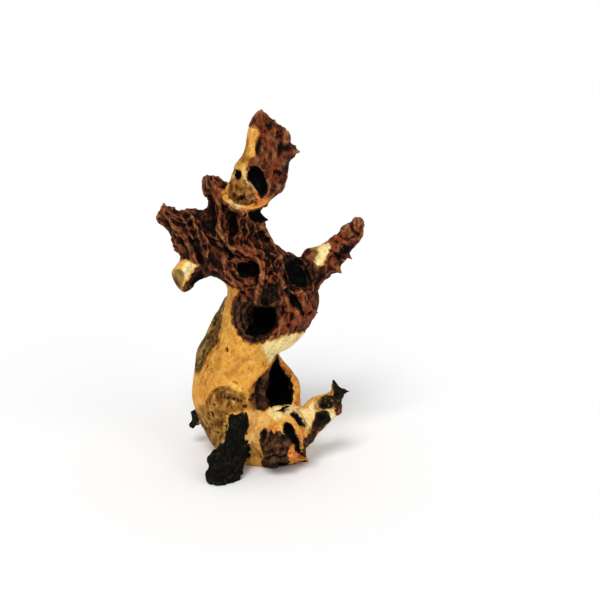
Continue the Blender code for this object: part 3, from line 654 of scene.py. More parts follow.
PATCHES = (
    # Golden wood, in the order in which it is laid over the dark wood.
    Patch(Tint.SAPWOOD, ((226, 284), (236, 287), (239, 291), (234, 300), (231, 312), (233, 325),
                         (240, 337), (250, 344), (262, 343), (276, 338), (290, 333), (304, 331),
                         (330, 345), (345, 500), (180, 500), (180, 350), (215, 284))),
    Patch(Tint.SAPWOOD, ((252, 125), (259, 129), (259, 136), (256, 140), (256, 157), (248, 162),
                         (246, 170), (248, 177), (252, 186), (259, 194), (266, 197), (275, 193),
                         (270, 203), (263, 208), (250, 211), (247, 216), (244, 211), (228, 206),
                         (220, 198), (232, 170), (238, 140), (246, 126))),
    Patch(Tint.SAPWOOD, ((170, 262), (181, 260), (193, 261), (200, 263), (203, 268), (196, 273),
                         (189, 281), (187, 292), (170, 292), (164, 276)), to_y=0.0),
    Patch(Tint.SAPWOOD, ((312, 262), (313, 255), (309, 246), (316, 240), (326, 242), (330, 239),
                         (331, 248), (328, 257), (323, 264), (317, 271))),
    # Dark wood laid over the golden wood.
    Patch(Tint.HEARTWOOD, ((250, 400), (254, 388), (258, 378), (266, 372), (273, 363), (277, 354),
                           (279, 366), (286, 380), (290, 392), (291, 404), (270, 406), (262, 412)),
          to_y=30.0),
    Patch(Tint.HEARTWOOD, ((184, 400), (195, 412), (202, 428), (184, 440))),
    Patch(Tint.HEARTWOOD, ((259, 346), (266, 345), (271, 360), (271, 380), (267, 398), (258, 410),
                           (253, 406), (258, 390), (261, 372)), from_y=12.0),
    Patch(Tint.HEARTWOOD, ((266, 418), (278, 418), (280, 432), (268, 436), (262, 428)), from_y=12.0),
    # Dead brown wood with little relief: the mouth of the knot hole and the wall of the chamber, the knob of
    # the front lobe, the foot of the side shoot and the sawn underside of the stub, whose dark is painted
    # shade.
    Patch(Tint.BROWN, ((236, 300), (246, 302), (258, 304), (262, 286), (278, 286), (280, 300), (277, 318),
                       (272, 334), (260, 342), (250, 343), (240, 336), (234, 325), (232, 312)),
          to_y=8.0),
    Patch(Tint.BROWN, ((252, 402), (256, 388), (262, 376), (272, 366), (275, 380), (268, 396),
                       (264, 410)), to_y=20.0),
    Patch(Tint.BROWN, ((259, 433), (264, 427), (269, 433), (272, 429), (275, 434), (279, 430), (284, 435),
                       (292, 436), (292, 445), (287, 453), (290, 462), (280, 474), (262, 474), (262, 462),
                       (263, 452), (259, 442)), to_y=-12.0),
    Patch(Tint.BROWN, ((303, 438), (308, 436), (313, 422), (318, 430), (316, 440), (314, 450), (311, 459),
                       (303, 458), (302, 446))),
    Patch(Tint.BROWN, ((314, 412), (322, 408), (330, 412), (330, 422), (322, 430), (314, 428)),
          to_y=10.0),
    # Painted shade on the stub's underside.
    Patch(Tint.BROWN, ((181, 294), (186, 284), (192, 275), (198, 267), (203, 263), (210, 268), (209, 280),
                       (196, 293)), to_y=0.0),
    Patch(Tint.BROWN, ((333, 376), (334, 393), (331, 397), (337, 407), (342, 400), (356, 390))),
    Patch(Tint.BROWN, ((231, 194), (240, 189), (249, 192), (254, 203), (240, 205), (231, 200)), to_y=0.0,
          most=-0.2),
    # Black of the hollows, partly rot and partly painted shade, and painted shadows under the upright limb's
    # curled rim and along the front lobe's underside.
    Patch(Tint.ROT_AND_SHADE, ((255, 312), (262, 308), (274, 308), (277, 318), (273, 328), (264, 335),
                        (254, 337), (246, 333), (249, 326), (254, 322)), to_y=16.0),
    Patch(Tint.ROT_AND_SHADE, ((238, 264), (247, 263), (258, 265), (260, 272), (257, 278), (242, 277),
                        (237, 272)), to_y=5.0),
    Patch(Tint.ROT_AND_SHADE, ((286, 262), (290, 258), (296, 262), (303, 270), (307, 280), (306, 288),
                        (300, 284), (290, 282), (285, 272)), to_y=6.0),
    Patch(Tint.ROT_AND_SHADE, ((234, 170), (238, 169), (241, 171), (242, 176), (239, 180), (235, 179)),
          to_y=0.0),
    # Painted shade under the stub.
    Patch(Tint.ROT_AND_SHADE, ((190, 285), (196, 276), (202, 271), (203, 276), (195, 286)), to_y=0.0),
    Patch(Tint.ROT_AND_SHADE, ((240, 196), (244, 196), (245, 199), (241, 199)), to_y=0.0),
    Patch(Tint.ROT_AND_SHADE, ((343, 246), (350, 246), (350, 254), (343, 254))),
    Patch(Tint.ROT_AND_SHADE, ((249, 166), (258, 167), (265, 178), (267, 192), (262, 197), (254, 190),
                        (248, 178)), to_y=0.0),
    # Painted shadow under the upright limb's curled rim.
    Patch(Tint.ROT_AND_SHADE, ((248, 213), (256, 210), (264, 208), (268, 214), (272, 220), (264, 224),
                        (252, 221)), to_y=8.0),
    Patch(Tint.ROT_AND_SHADE, ((269, 378), (274, 362), (278, 356), (280, 366), (287, 379), (291, 391),
                        (292, 406), (280, 405), (271, 408), (267, 394)), to_y=30.0),
    Patch(Tint.ROT_AND_SHADE, ((283, 424), (288, 421), (293, 427), (297, 436), (299, 445), (303, 456),
                        (299, 455), (294, 447), (290, 440), (285, 436), (282, 430)), to_y=-5.0),
    Patch(Tint.ROT_AND_SHADE, ((290, 413), (295, 412), (300, 415), (303, 421), (304, 428), (300, 427),
                        (296, 422), (292, 418)), to_y=-5.0),
    Patch(Tint.ROT_AND_SHADE, ((276, 411), (281, 408), (289, 405), (288, 409), (283, 412)), to_y=-5.0),
    # Painted shadow along the front lobe's underside.
    Patch(Tint.ROT_AND_SHADE, ((278, 462), (290, 464), (308, 461), (313, 466), (300, 474), (278, 474)),
          to_y=-5.0),
    Patch(Tint.ROT_AND_SHADE, ((289, 291), (294, 296), (300, 305), (303, 313), (298, 311), (290, 300)),
          to_y=0.0),
    # Dark, half rotten wood round the hollows, and painted shade between the limbs.
    Patch(Tint.ROT_AND_SHADE, ((196, 206), (208, 196), (214, 206), (215, 222), (214, 236), (204, 232),
                        (199, 218)), to_y=6.0, most=0.0),
    Patch(Tint.ROT_AND_SHADE, ((226, 210), (238, 212), (241, 226), (238, 246), (230, 244), (226, 228)), to_y=6.0,
          most=0.0),
    Patch(Tint.ROT_AND_SHADE, ((284, 256), (296, 254), (312, 262), (316, 276), (312, 290), (304, 292),
                        (288, 286), (280, 272)), to_y=6.0, most=0.0),
    Patch(Tint.ROT_AND_SHADE, ((261, 286), (276, 284), (279, 300), (268, 306), (261, 302)), to_y=6.0, most=0.1),
    Patch(Tint.ROT_AND_SHADE, ((194, 238), (205, 246), (213, 262), (206, 270), (196, 256)), to_y=6.0, most=-0.1),
    Patch(Tint.ROT_AND_SHADE, ((274, 170), (286, 172), (285, 184), (274, 182)), to_y=6.0, most=-0.1),
    Patch(Tint.ROT_AND_SHADE, ((341, 244), (353, 243), (351, 257), (338, 259)), to_y=30.0, most=0.0),
    Patch(Tint.ROT_AND_SHADE, ((316, 268), (324, 264), (326, 276), (318, 286), (313, 280)), to_y=30.0,
          most=-0.1),
    # Fresher red-brown heartwood with little relief.
    Patch(Tint.REDDISH, ((281, 300), (300, 296), (316, 310), (314, 322), (304, 330), (284, 334),
                         (277, 330), (278, 314)), to_y=5.0),
    Patch(Tint.REDDISH, ((228, 284), (244, 282), (252, 290), (244, 298), (238, 294)), to_y=0.0),
    Patch(Tint.REDDISH, ((214, 178), (228, 188), (224, 206), (215, 200))),
    Patch(Tint.REDDISH, ((260, 120), (274, 128), (272, 150), (262, 142))),
    Patch(Tint.REDDISH, ((266, 160), (280, 158), (284, 180), (272, 186))),
    Patch(Tint.REDDISH, ((324, 256), (334, 236), (348, 226), (352, 236), (338, 254), (326, 266))),
    Patch(Tint.REDDISH, ((232, 222), (258, 246), (276, 284), (262, 286), (248, 262), (228, 240))),
    # Burnt-looking old wood: the front foot and the stub's underside; on the undersides the near black is
    # painted shade.
    Patch(Tint.CHARRED_AND_SHADE, ((229, 414), (247, 413), (250, 424), (246, 436), (250, 450), (250, 464),
                         (254, 480), (235, 492), (200, 492), (200, 462), (214, 446), (224, 440),
                         (227, 424)), to_y=-17.0),
    Patch(Tint.CHARRED_AND_SHADE, ((184, 402), (195, 409), (199, 418), (198, 428), (184, 438)), from_y=-5.0),
    # Painted shade on the side shoot's underside.
    Patch(Tint.CHARRED_AND_SHADE, ((331, 374), (333, 394), (337, 400), (343, 398), (356, 392), (352, 386),
                         (340, 380)), from_y=-40.0),
    Patch(Tint.CHARRED_AND_SHADE, ((318, 402), (322, 397), (330, 396), (336, 403), (330, 409), (321, 408)),
          to_y=10.0, most=0.9),
    Patch(Tint.CHARRED_AND_SHADE, ((316, 414), (325, 412), (330, 418), (326, 426), (318, 426), (314, 420)),
          to_y=10.0, most=0.8),
    # Pale faces: on the front, painted highlights where the light falls; behind, sun-bleached wood.
    Patch(Tint.BLEACHED_AND_HIGHLIGHT, ((262, 345), (276, 340), (290, 335), (304, 332), (306, 338), (290, 350),
                          (278, 358), (270, 362)), to_y=12.0),
    Patch(Tint.BLEACHED_AND_HIGHLIGHT, ((312, 262), (314, 254), (318, 246), (326, 242), (330, 241), (329, 252),
                          (323, 263), (317, 269))),
    Patch(Tint.BLEACHED_AND_HIGHLIGHT, ((180, 270), (186, 262), (198, 263), (192, 272), (186, 280), (180, 276)),
          to_y=0.0),
    Patch(Tint.BLEACHED_AND_HIGHLIGHT, ((268, 410), (276, 405), (292, 404), (304, 410), (314, 402), (320, 402),
                          (316, 416), (306, 430), (298, 418), (284, 416), (276, 420), (268, 416)),
          to_y=10.0, most=0.6),
    Patch(Tint.BLEACHED_AND_HIGHLIGHT, ((246, 414), (262, 412), (272, 420), (264, 430), (259, 446), (250, 452),
                          (246, 436)), to_y=-12.0, most=-1.0),
    Patch(Tint.BLEACHED_AND_HIGHLIGHT, ((243, 165), (248, 171), (251, 183), (257, 192), (253, 192), (247, 183),
                          (244, 174)), to_y=0.0),
    Patch(Tint.BLEACHED_AND_HIGHLIGHT, ((226, 201), (236, 204), (244, 206), (242, 209), (230, 207)), to_y=0.0),
    Patch(Tint.BLEACHED_AND_HIGHLIGHT, ((327, 410), (336, 408), (336, 420), (326, 432), (322, 430)), to_y=10.0),
    Patch(Tint.BLEACHED_AND_HIGHLIGHT, ((238, 350), (250, 346), (252, 376), (246, 402), (238, 392)), from_y=14.0,
          most=0.2),
    Patch(Tint.BLEACHED_AND_HIGHLIGHT, ((282, 420), (300, 412), (306, 430), (296, 450), (284, 440)), from_y=10.0),
    # Brown stain on the golden wood, and painted shade on the front lobe's lower left.
    Patch(Tint.STAINED_AND_SHADE, ((206, 402), (211, 392), (219, 387), (229, 388), (240, 394), (252, 400),
                         (258, 408), (248, 411), (230, 412), (222, 424), (214, 414), (206, 410)),
          to_y=0.0, most=0.6),
    Patch(Tint.STAINED_AND_SHADE, ((214, 394), (222, 388), (230, 390), (240, 396), (240, 402), (226, 402),
                         (214, 400)), to_y=0.0),
    Patch(Tint.STAINED_AND_SHADE, ((198, 404), (216, 408), (228, 412), (224, 440), (218, 452), (206, 440),
                         (198, 420)), to_y=6.0, most=0.8),
    Patch(Tint.STAINED_AND_SHADE, ((230, 178), (243, 175), (247, 182), (252, 190), (260, 199), (256, 205),
                         (246, 206), (234, 203), (228, 198)), to_y=0.0),
    Patch(Tint.STAINED_AND_SHADE, ((246, 136), (249, 150), (246, 168), (238, 180), (234, 170), (242, 150)),
          most=-0.4),
    Patch(Tint.STAINED_AND_SHADE, ((316, 398), (332, 396), (337, 406), (326, 410), (324, 414), (330, 420),
                         (322, 430), (314, 426), (316, 414), (314, 408)), to_y=12.0),
    Patch(Tint.STAINED_AND_SHADE, ((291, 412), (298, 412), (305, 424), (303, 432), (297, 422)), to_y=-10.0),
    # Painted shade on the front lobe's lower left.
    Patch(Tint.STAINED_AND_SHADE, ((246, 448), (252, 444), (260, 452), (262, 464), (252, 466), (246, 458)),
          to_y=-20.0, most=-0.3),
    Patch(Tint.STAINED_AND_SHADE, ((205, 400), (230, 392), (250, 410), (246, 440), (215, 446), (200, 425)),
          from_y=12.0, most=0.2),
    Patch(Tint.STAINED_AND_SHADE, ((262, 404), (284, 410), (290, 432), (276, 446), (256, 436)), from_y=10.0,
          most=0.2),
    # Greenish old surface: the stem's turned left side and the stub's end, both also darkened as painted
    # shade, and the tops of small points.
    Patch(Tint.OLIVE_AND_SHADE, ((226, 292), (224, 312), (221, 330), (218, 342), (209, 352), (204, 364), (198, 376),
                       (186, 350), (204, 320), (216, 292)), to_y=16.0),
    Patch(Tint.OLIVE_AND_SHADE, ((172, 270), (181, 269), (184, 277), (182, 288), (170, 286)), to_y=0.0),
    Patch(Tint.OLIVE_AND_SHADE, ((310, 256), (312, 248), (316, 243), (318, 250), (314, 262))),
    Patch(Tint.OLIVE_AND_SHADE, ((226, 306), (238, 318), (240, 344), (230, 366), (220, 350)), from_y=16.0),
    # Rust-coloured edges.
    Patch(Tint.RUSTY, ((286, 453), (289, 449), (293, 443), (297, 450), (302, 457), (309, 459), (306, 462),
                       (298, 463), (290, 461)), to_y=0.0),
    Patch(Tint.RUSTY, ((298, 430), (303, 431), (306, 437), (302, 440), (299, 444), (297, 436)), to_y=0.0),
    Patch(Tint.RUSTY, ((266, 430), (272, 427), (284, 428), (286, 434), (278, 434), (268, 434)),
          to_y=-12.0, most=0.4),
    Patch(Tint.RUSTY, ((240, 206), (250, 206), (254, 200), (250, 190), (256, 190), (266, 198), (272, 194),
                       (268, 205), (254, 212), (242, 210)), most=0.4),
    Patch(Tint.RUSTY, ((234, 181), (245, 177), (254, 190), (256, 206), (238, 205), (232, 196)), to_y=0.0,
          most=-0.9),
    Patch(Tint.RUSTY, ((280, 364), (288, 365), (295, 374), (298, 384), (293, 383), (287, 375)), most=0.8),
    Patch(Tint.RUSTY, ((292, 382), (297, 384), (299, 396), (300, 406), (294, 406)), most=-0.4),
    Patch(Tint.RUSTY, ((252, 404), (250, 392), (254, 382), (262, 374), (266, 372), (258, 382),
                       (256, 394)), to_y=0.0),
)


class Weathering:
    """The fields that say which finish each point of the wood has, in millimetres inside its edge."""

    WOBBLES = ((9.0, 1.6), (3.0, 0.8))
    FAR = -30.0

    def __init__(self, surface: Surface, view: PhotoView) -> None:
        """Finds where each point is seen, with the wandering of real edges added.

        Args:
            surface: The finished mesh.
            view: The camera whose pixels the patches are outlined in.
        """
        self.surface = surface
        self.pixel_size = view.distance / view.pixels_per_slope
        pixels = view.pixels(surface.points)
        for number, (spacing, reach) in enumerate(self.WOBBLES):
            for axis in (0, 1):
                noise = Noise(Draw.WOBBLE + 2 * number + axis)
                pixels[:, axis] += noise.at(surface.points, spacing) * reach / self.pixel_size
        self.pixels = pixels

    def inside(self, patch: Patch) -> np.ndarray:
        """How far inside a patch each point is.

        Args:
            patch: The patch.

        Returns:
            Millimetres inside the patch's edge, negative outside it.
        """
        corners = np.array(patch.outline, float)
        nearest = np.full(len(self.pixels), np.inf)
        within = np.zeros(len(self.pixels), bool)
        x, y = self.pixels.T
        for start, end in zip(corners, np.roll(corners, -1, axis=0)):
            run = end - start
            share = np.clip(((self.pixels - start) @ run) / (run @ run), 0, 1)
            apart = np.linalg.norm(self.pixels - start - share[:, None] * run, axis=1)
            nearest = np.minimum(nearest, apart)
            if run[1]:
                crossing = start[0] + (y - start[1]) / run[1] * run[0]
                within ^= ((start[1] > y) != (end[1] > y)) & (x < crossing)
        depth = np.where(within, nearest, -nearest) * self.pixel_size
        at_y = self.surface.points[:, 1]
        depth = np.minimum(depth, np.minimum(at_y - patch.from_y, patch.to_y - at_y))
        return np.minimum(depth, patch.most)

    def fields(self) -> dict[Tint, np.ndarray]:
        """Lays the patches over each other.

        Returns:
            For each tint but the heartwood, how far inside it each point is.
        """
        found = {tint: np.full(len(self.pixels), self.FAR) for tint in Tint if tint is not Tint.HEARTWOOD}
        for patch in PATCHES:
            depth = self.inside(patch)
            if patch.tint is Tint.HEARTWOOD:
                found[Tint.SAPWOOD] = np.minimum(found[Tint.SAPWOOD], -depth)
            else:
                found[patch.tint] = np.maximum(found[patch.tint], depth)
        return found


@dataclass
class RootWood:
    """The whole root as one fine mesh: the solid's shape, with the relief of weathered wood carved in."""

    first_voxel: float = 0.7
    last_voxel: float = 0.62
    heartwood_softening: int = 5
    sapwood_softening: int = 35
    triangles: int = 190_000
    heartwood_ribs: tuple[ReliefLayer, ...] = (
        ReliefLayer(15.0, 2.0, 1.3, False), ReliefLayer(6.5, 6.0, 0.95), ReliefLayer(3.2, 5.0, 0.6),
        ReliefLayer(1.8, 3.5, 0.35),
    )
    sapwood_swells: tuple[ReliefLayer, ...] = (
        ReliefLayer(24.0, 1.5, 0.9, False), ReliefLayer(8.0, 2.5, 0.35, False),
        ReliefLayer(2.8, 5.0, 0.12, False),
    )
    charred_crags: tuple[ReliefLayer, ...] = (
        ReliefLayer(11.0, 1.0, 2.2, False), ReliefLayer(8.0, 1.0, 0.9), ReliefLayer(4.0, 1.0, 0.9, False),
        ReliefLayer(2.2, 1.0, 0.4, False),
    )
    streaks: ReliefLayer = ReliefLayer(3.0, 9.0, 1.0, False)
    hollow: ReliefLayer = ReliefLayer(11.0, 2.6, 3.0, False)
    hollow_threshold: float = 0.22
    hollow_edge: float = 0.5
    # Ribs stand out fully in some places and barely in others, as sand and water wear them unevenly.
    uneven_spacing: float = 16.0
    uneven_balance: float = 0.55
    least_ribs: float = 0.35
    uneven_ribs: float = 0.9
    waviness: tuple[float, float] = (18.0, 2.5)
    finish_edge: float = 3.0
    softening_edge: float = 4.0
    reddish_share: float = 0.6
    brown_share: float = 0.45
    rot_share: float = 0.25
    rot_recess: float = 1.6
    floor_level: float = 0.0
    # How a stroke's section is shaped, and how unevenly it runs.
    wander_spacing: float = 5.0
    edge_wander: float = 0.25
    strand_wander: float = 0.4
    stroke_margin: float = 1.5
    groove_sharpness: float = 0.8
    pit_steepness: float = 2.5
    pull_sharpness: float = 1.3
    # What the material reads: crests of the fine and the wide relief, for painted highlight and painted
    # shade, and how closed in a point is, for painted shade.
    fine_passes: int = 6
    wide_passes: int = 60
    wide_share: float = 0.45
    occlusion_shade_rays: int = 14
    occlusion_shade_reach: float = 45.0
    occlusion_shade_start: float = 0.3
    occlusion_shade_lean: float = 1.05
    occlusion_shade_softening: int = 2
    piece_name: str = "mopani_root_wood"

    def build(self, solid: bpy.types.Object, view: PhotoView) -> bpy.types.Object:
        """Makes the piece from a copy of the solid.

        Args:
            solid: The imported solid.
            view: The camera through which the strokes and patches are laid.

        Returns:
            The finished mesh object.
        """
        piece = bpy.data.objects.new(self.piece_name, solid.data.copy())
        bpy.context.scene.collection.objects.link(piece)
        self.refine(piece)
        self.carve(piece, view)
        self.settle_relief(piece)
        self.weather(piece, view)
        piece.data.shade_smooth()
        return piece

    def refine(self, piece: bpy.types.Object) -> None:
        """Lays an even, fine mesh over the solid."""
        weld = piece.modifiers.new("join_faces", "WELD")
        weld.merge_threshold = 0.01 * MM
        remesh = piece.modifiers.new("fine_mesh", "REMESH")
        remesh.mode = "VOXEL"
        remesh.voxel_size = self.first_voxel * MM
        apply_modifiers(piece)
        LOG.info("fine mesh: %d points", len(piece.data.vertices))

    def carve(self, piece: bpy.types.Object, view: PhotoView) -> None:
        """Raises the ribs of the grain and carves the strokes."""
        surface = Surface(piece)
        fields = Weathering(surface, view).fields()
        golden = over_edge(fields[Tint.SAPWOOD], self.softening_edge)[:, None]
        rough = surface.spread(surface.points, self.heartwood_softening)
        smooth = surface.spread(rough, self.sapwood_softening)
        surface.points = rough + (smooth - rough) * golden
        surface.write()
        surface = Surface(piece)
        lift = self.relief(surface, fields)
        tree = surface.tree()
        wander = Noise(Draw.WANDER).at(surface.points, self.wander_spacing)
        moved = np.zeros_like(surface.points)
        for stroke in STROKES:
            if stroke.form is Form.PULL:
                moved += self.pull(stroke, surface, tree, view)
            else:
                lift += self.stroke_lift(stroke, surface, tree, view, wander)
        surface.points += surface.normals * lift[:, None] + moved
        surface.points[:, 2] = np.maximum(surface.points[:, 2], self.floor_level)
        surface.write()

    def relief(self, surface: Surface, fields: dict[Tint, np.ndarray]) -> np.ndarray:
        """Finds how far the grain, the rot and the weather stand each point out.

        Args:
            surface: The smooth surface.
            fields: How far inside each finish each point is.

        Returns:
            One distance in millimetres for each point, negative where it sinks.
        """
        grain = Grain(surface.points)
        grain.wave(surface.points, *self.waviness)
        uneven = Noise(Draw.UNEVENNESS).at(surface.points, self.uneven_spacing)
        uneven = self.least_ribs + self.uneven_ribs * eased(self.uneven_balance + uneven)
        ribs, swells, crags = (np.zeros(len(surface.points)) for _ in range(3))
        for number, layer in enumerate(self.heartwood_ribs):
            pattern = grain.pattern(Noise(Draw.RIBS + number), layer)
            ribs += pattern * (uneven if layer.ridged else 1.0)
        for number, layer in enumerate(self.sapwood_swells):
            swells += grain.pattern(Noise(Draw.SWELLS + number), layer)
        for number, layer in enumerate(self.charred_crags):
            noise = Noise(Draw.CRAGS + number)
            read = noise.ridges if layer.ridged else noise.at
            crags += read(surface.points, layer.spacing) * layer.height
        hollows = grain.pattern(Noise(Draw.HOLLOWS), self.hollow) / self.hollow.height
        ribs -= self.hollow.height * eased((hollows - self.hollow_threshold) / self.hollow_edge)
        ribs *= grain.relief
        share = {tint: over_edge(depth, self.finish_edge) for tint, depth in fields.items()}
        ribs += (self.reddish_share - 1) * ribs * share[Tint.REDDISH]
        lift = ribs + (swells - ribs) * share[Tint.SAPWOOD]
        lift += (crags * self.brown_share - lift) * share[Tint.BROWN]
        lift += (crags - lift) * share[Tint.CHARRED_AND_SHADE]
        return lift + (self.rot_share * lift - self.rot_recess - lift) * share[Tint.ROT_AND_SHADE]

    @staticmethod
    def laid(path: Pixels, behind: bool, tree: BVHTree, view: PhotoView) -> np.ndarray:
        """Finds where a line of the photo's pixels lies on the wood.

        Args:
            path: The points of the line, in pixels.
            behind: Whether it lies on the side behind the one that the camera sees.
            tree: A lookup into the surface.
            view: The camera that it is laid through.

        Returns:
            The points of the line, one in each row, without those that miss the wood.
        """
        pixels = np.array(path, float)
        if len(pixels) > 1:
            pixels = smooth_line(pixels, STROKE_PIECES)
        found = []
        for pixel in pixels:
            start, sight = view.eye, view.sight(pixel)
            if behind:
                start, sight = start + sight * 2 * view.distance, -sight
            hit, *_ = tree.ray_cast(Vector(start), Vector(sight))
            if hit is not None:
                found.append(hit)
        return np.array(found).reshape(-1, 3)

    def pull(self, stroke: Stroke, surface: Surface, tree: BVHTree, view: PhotoView) -> np.ndarray:
        """Moves the wood round the stroke's first pixel by the way from there to its last.

        Args:
            stroke: The stroke.
            surface: The surface that it stands on.
            tree: A lookup into that surface.
            view: The camera that it is laid through.

        Returns:
            How far each point moves, one row for each.
        """
        moved = np.zeros_like(surface.points)
        root = self.laid(stroke.path[:1], stroke.behind, tree, view)
        if len(root):
            ahead = (view.eye - root[0]) @ view.back
            step = (np.array(stroke.path[-1]) - np.array(stroke.path[0])) / view.pixels_per_slope * ahead
            reach = np.array((step[0], 0, 0)) - view.up * step[1]
            distance = np.linalg.norm(surface.points - root[0], axis=1)
            share = np.clip(1 - distance / stroke.half_width, 0, 1)[:, None]
            moved += share**self.pull_sharpness * reach * stroke.height
        return moved

    def stroke_lift(
        self, stroke: Stroke, surface: Surface, tree: BVHTree, view: PhotoView, wander: np.ndarray
    ) -> np.ndarray:
        """Finds how far a stroke moves each point outwards.

        Args:
            stroke: The stroke.
            surface: The surface that it is carved in.
            tree: A lookup into that surface.
            view: The camera that it is laid through.
            wander: Noise that makes the stroke uneven.

        Returns:
            One distance in millimetres for each point, negative where it sinks.
        """
        line = self.laid(stroke.path, stroke.behind, tree, view)
        lift = np.zeros(len(surface.points))
        if not len(line):
            return lift
        margin = stroke.half_width * self.stroke_margin
        low, high = line.min(axis=0) - margin, line.max(axis=0) + margin
        near = np.all((surface.points > low) & (surface.points < high), axis=1)
        apart = surface.points[near][:, None] - line[None]
        distance = np.sqrt((apart**2).sum(axis=2).min(axis=1)) * (1 + self.edge_wander * wander[near])
        share = distance / stroke.half_width
        if stroke.form is Form.STRAND:
            lift[near] = stroke.height * eased(1 - share) * (1 + self.strand_wander * wander[near])
        elif stroke.form is Form.SWELLING:
            lift[near] = stroke.height * np.sqrt(np.clip(1 - share**2, 0, 1))
        elif stroke.form is Form.GROOVE:
            lift[near] = -stroke.height * np.clip(1 - share, 0, 1) ** self.groove_sharpness
        else:
            lift[near] = -stroke.height * eased((1 - share) * self.pit_steepness)
        return lift

    def settle_relief(self, piece: bpy.types.Object) -> None:
        """Meshes the carved surface evenly again, so that no fold is left, and thins it where plain."""
        remesh = piece.modifiers.new("even_mesh", "REMESH")
        remesh.mode = "VOXEL"
        remesh.voxel_size = self.last_voxel * MM
        apply_modifiers(piece)
        faces = sum(len(face.vertices) - 2 for face in piece.data.polygons)
        thin = piece.modifiers.new("thin", "DECIMATE")
        thin.ratio = min(1.0, self.triangles / faces)
        thin.use_collapse_triangulate = True
        apply_modifiers(piece)
        LOG.info("carved mesh: %d of %d triangles", len(piece.data.polygons), faces)

    def weather(self, piece: bpy.types.Object, view: PhotoView) -> None:
        """Keeps on the mesh what the material reads: finishes, crests and hollows for painted highlight and
        painted shade, streaks, and how closed in each point is, for painted shade.
        """
        surface = Surface(piece)
        for tint, depth in Weathering(surface, view).fields().items():
            surface.store(tint.value, depth)
        fine = self.standing_out(surface, self.fine_passes)
        surface.store("fine_relief_highlight_and_shade", fine)
        surface.store("relief_highlight_and_shade", fine + self.wide_share * self.standing_out(surface, self.wide_passes))
        grain = Grain(surface.points)
        grain.wave(surface.points, *self.waviness)
        surface.store("streak", grain.pattern(Noise(Draw.STREAKS), self.streaks))
        surface.store("occlusion_shade", surface.spread(self.occlusion_shade(surface), self.occlusion_shade_softening))

    @staticmethod
    def standing_out(surface: Surface, passes: int) -> np.ndarray:
        """How far each point stands out of the surface softened so many times, negative in a hollow."""
        return ((surface.points - surface.spread(surface.points, passes)) * surface.normals).sum(axis=1)

    def occlusion_shade(self, surface: Surface) -> np.ndarray:
        """Finds how far the wood itself closes each point in, which the material darkens as painted shade.

        Args:
            surface: The finished mesh.

        Returns:
            The share of directions away from the surface that meet wood within reach, for each point.
        """
        tree = surface.tree()
        turns = np.random.default_rng(Draw.OCCLUSION_SHADE_RAYS).normal(size=(self.occlusion_shade_rays, 3))
        turns /= np.linalg.norm(turns, axis=1, keepdims=True)
        rays = [Vector(turn) for turn in turns]
        found = np.zeros(len(surface.points))
        for number, (point, normal) in enumerate(zip(surface.points, surface.normals)):
            out = Vector(normal)
            start = Vector(point) + out * self.occlusion_shade_start
            closed = 0
            for ray in rays:
                way = (ray + out * self.occlusion_shade_lean).normalized()
                hit, *_ = tree.ray_cast(start, way, self.occlusion_shade_reach)
                closed += hit is not None
            found[number] = closed / len(rays)
        return found


def apply_modifiers(obj: bpy.types.Object) -> None:
    """Makes the result of an object's modifiers its own mesh."""
    bpy.context.view_layer.update()
    graph = bpy.context.evaluated_depsgraph_get()
    mesh = bpy.data.meshes.new_from_object(obj.evaluated_get(graph))
    obj.modifiers.clear()
    obj.data = mesh


class NodeTree:
    """The nodes of one material or world, added one after the other."""

    def __init__(self, owner: bpy.types.Material | bpy.types.World) -> None:
        """Starts with no nodes.

        Args:
            owner: The material or world that the nodes are for.
        """
        owner.use_nodes = True
        self.tree = owner.node_tree
        self.tree.nodes.clear()

    def add(self, kind: str, inputs: dict | None = None, **settings: object) -> bpy.types.Node:
        """Adds a node with its settings and links.

        Args:
            kind: Blender's name for the type of node.
            inputs: For each input's name or number, its value or the output that it is linked to.
            settings: Values of the node's own settings.

        Returns:
            The node.
        """
        node = self.tree.nodes.new(kind)
        for name, value in settings.items():
            setattr(node, name, value)
        for name, value in (inputs or {}).items():
            if isinstance(value, bpy.types.NodeSocket):
                self.tree.links.new(value, node.inputs[name])
            else:
                node.inputs[name].default_value = value
        return node


@dataclass(frozen=True)
class Coat:
    """One colour laid over those under it, where a value of the wood passes from one level to another."""

    colour: str
    where: str
    none_at: float
    full_at: float
    strength: float = 1.0
    ragged: float = 0.0
    ragged_by: str = "speckle"
    within: str = ""


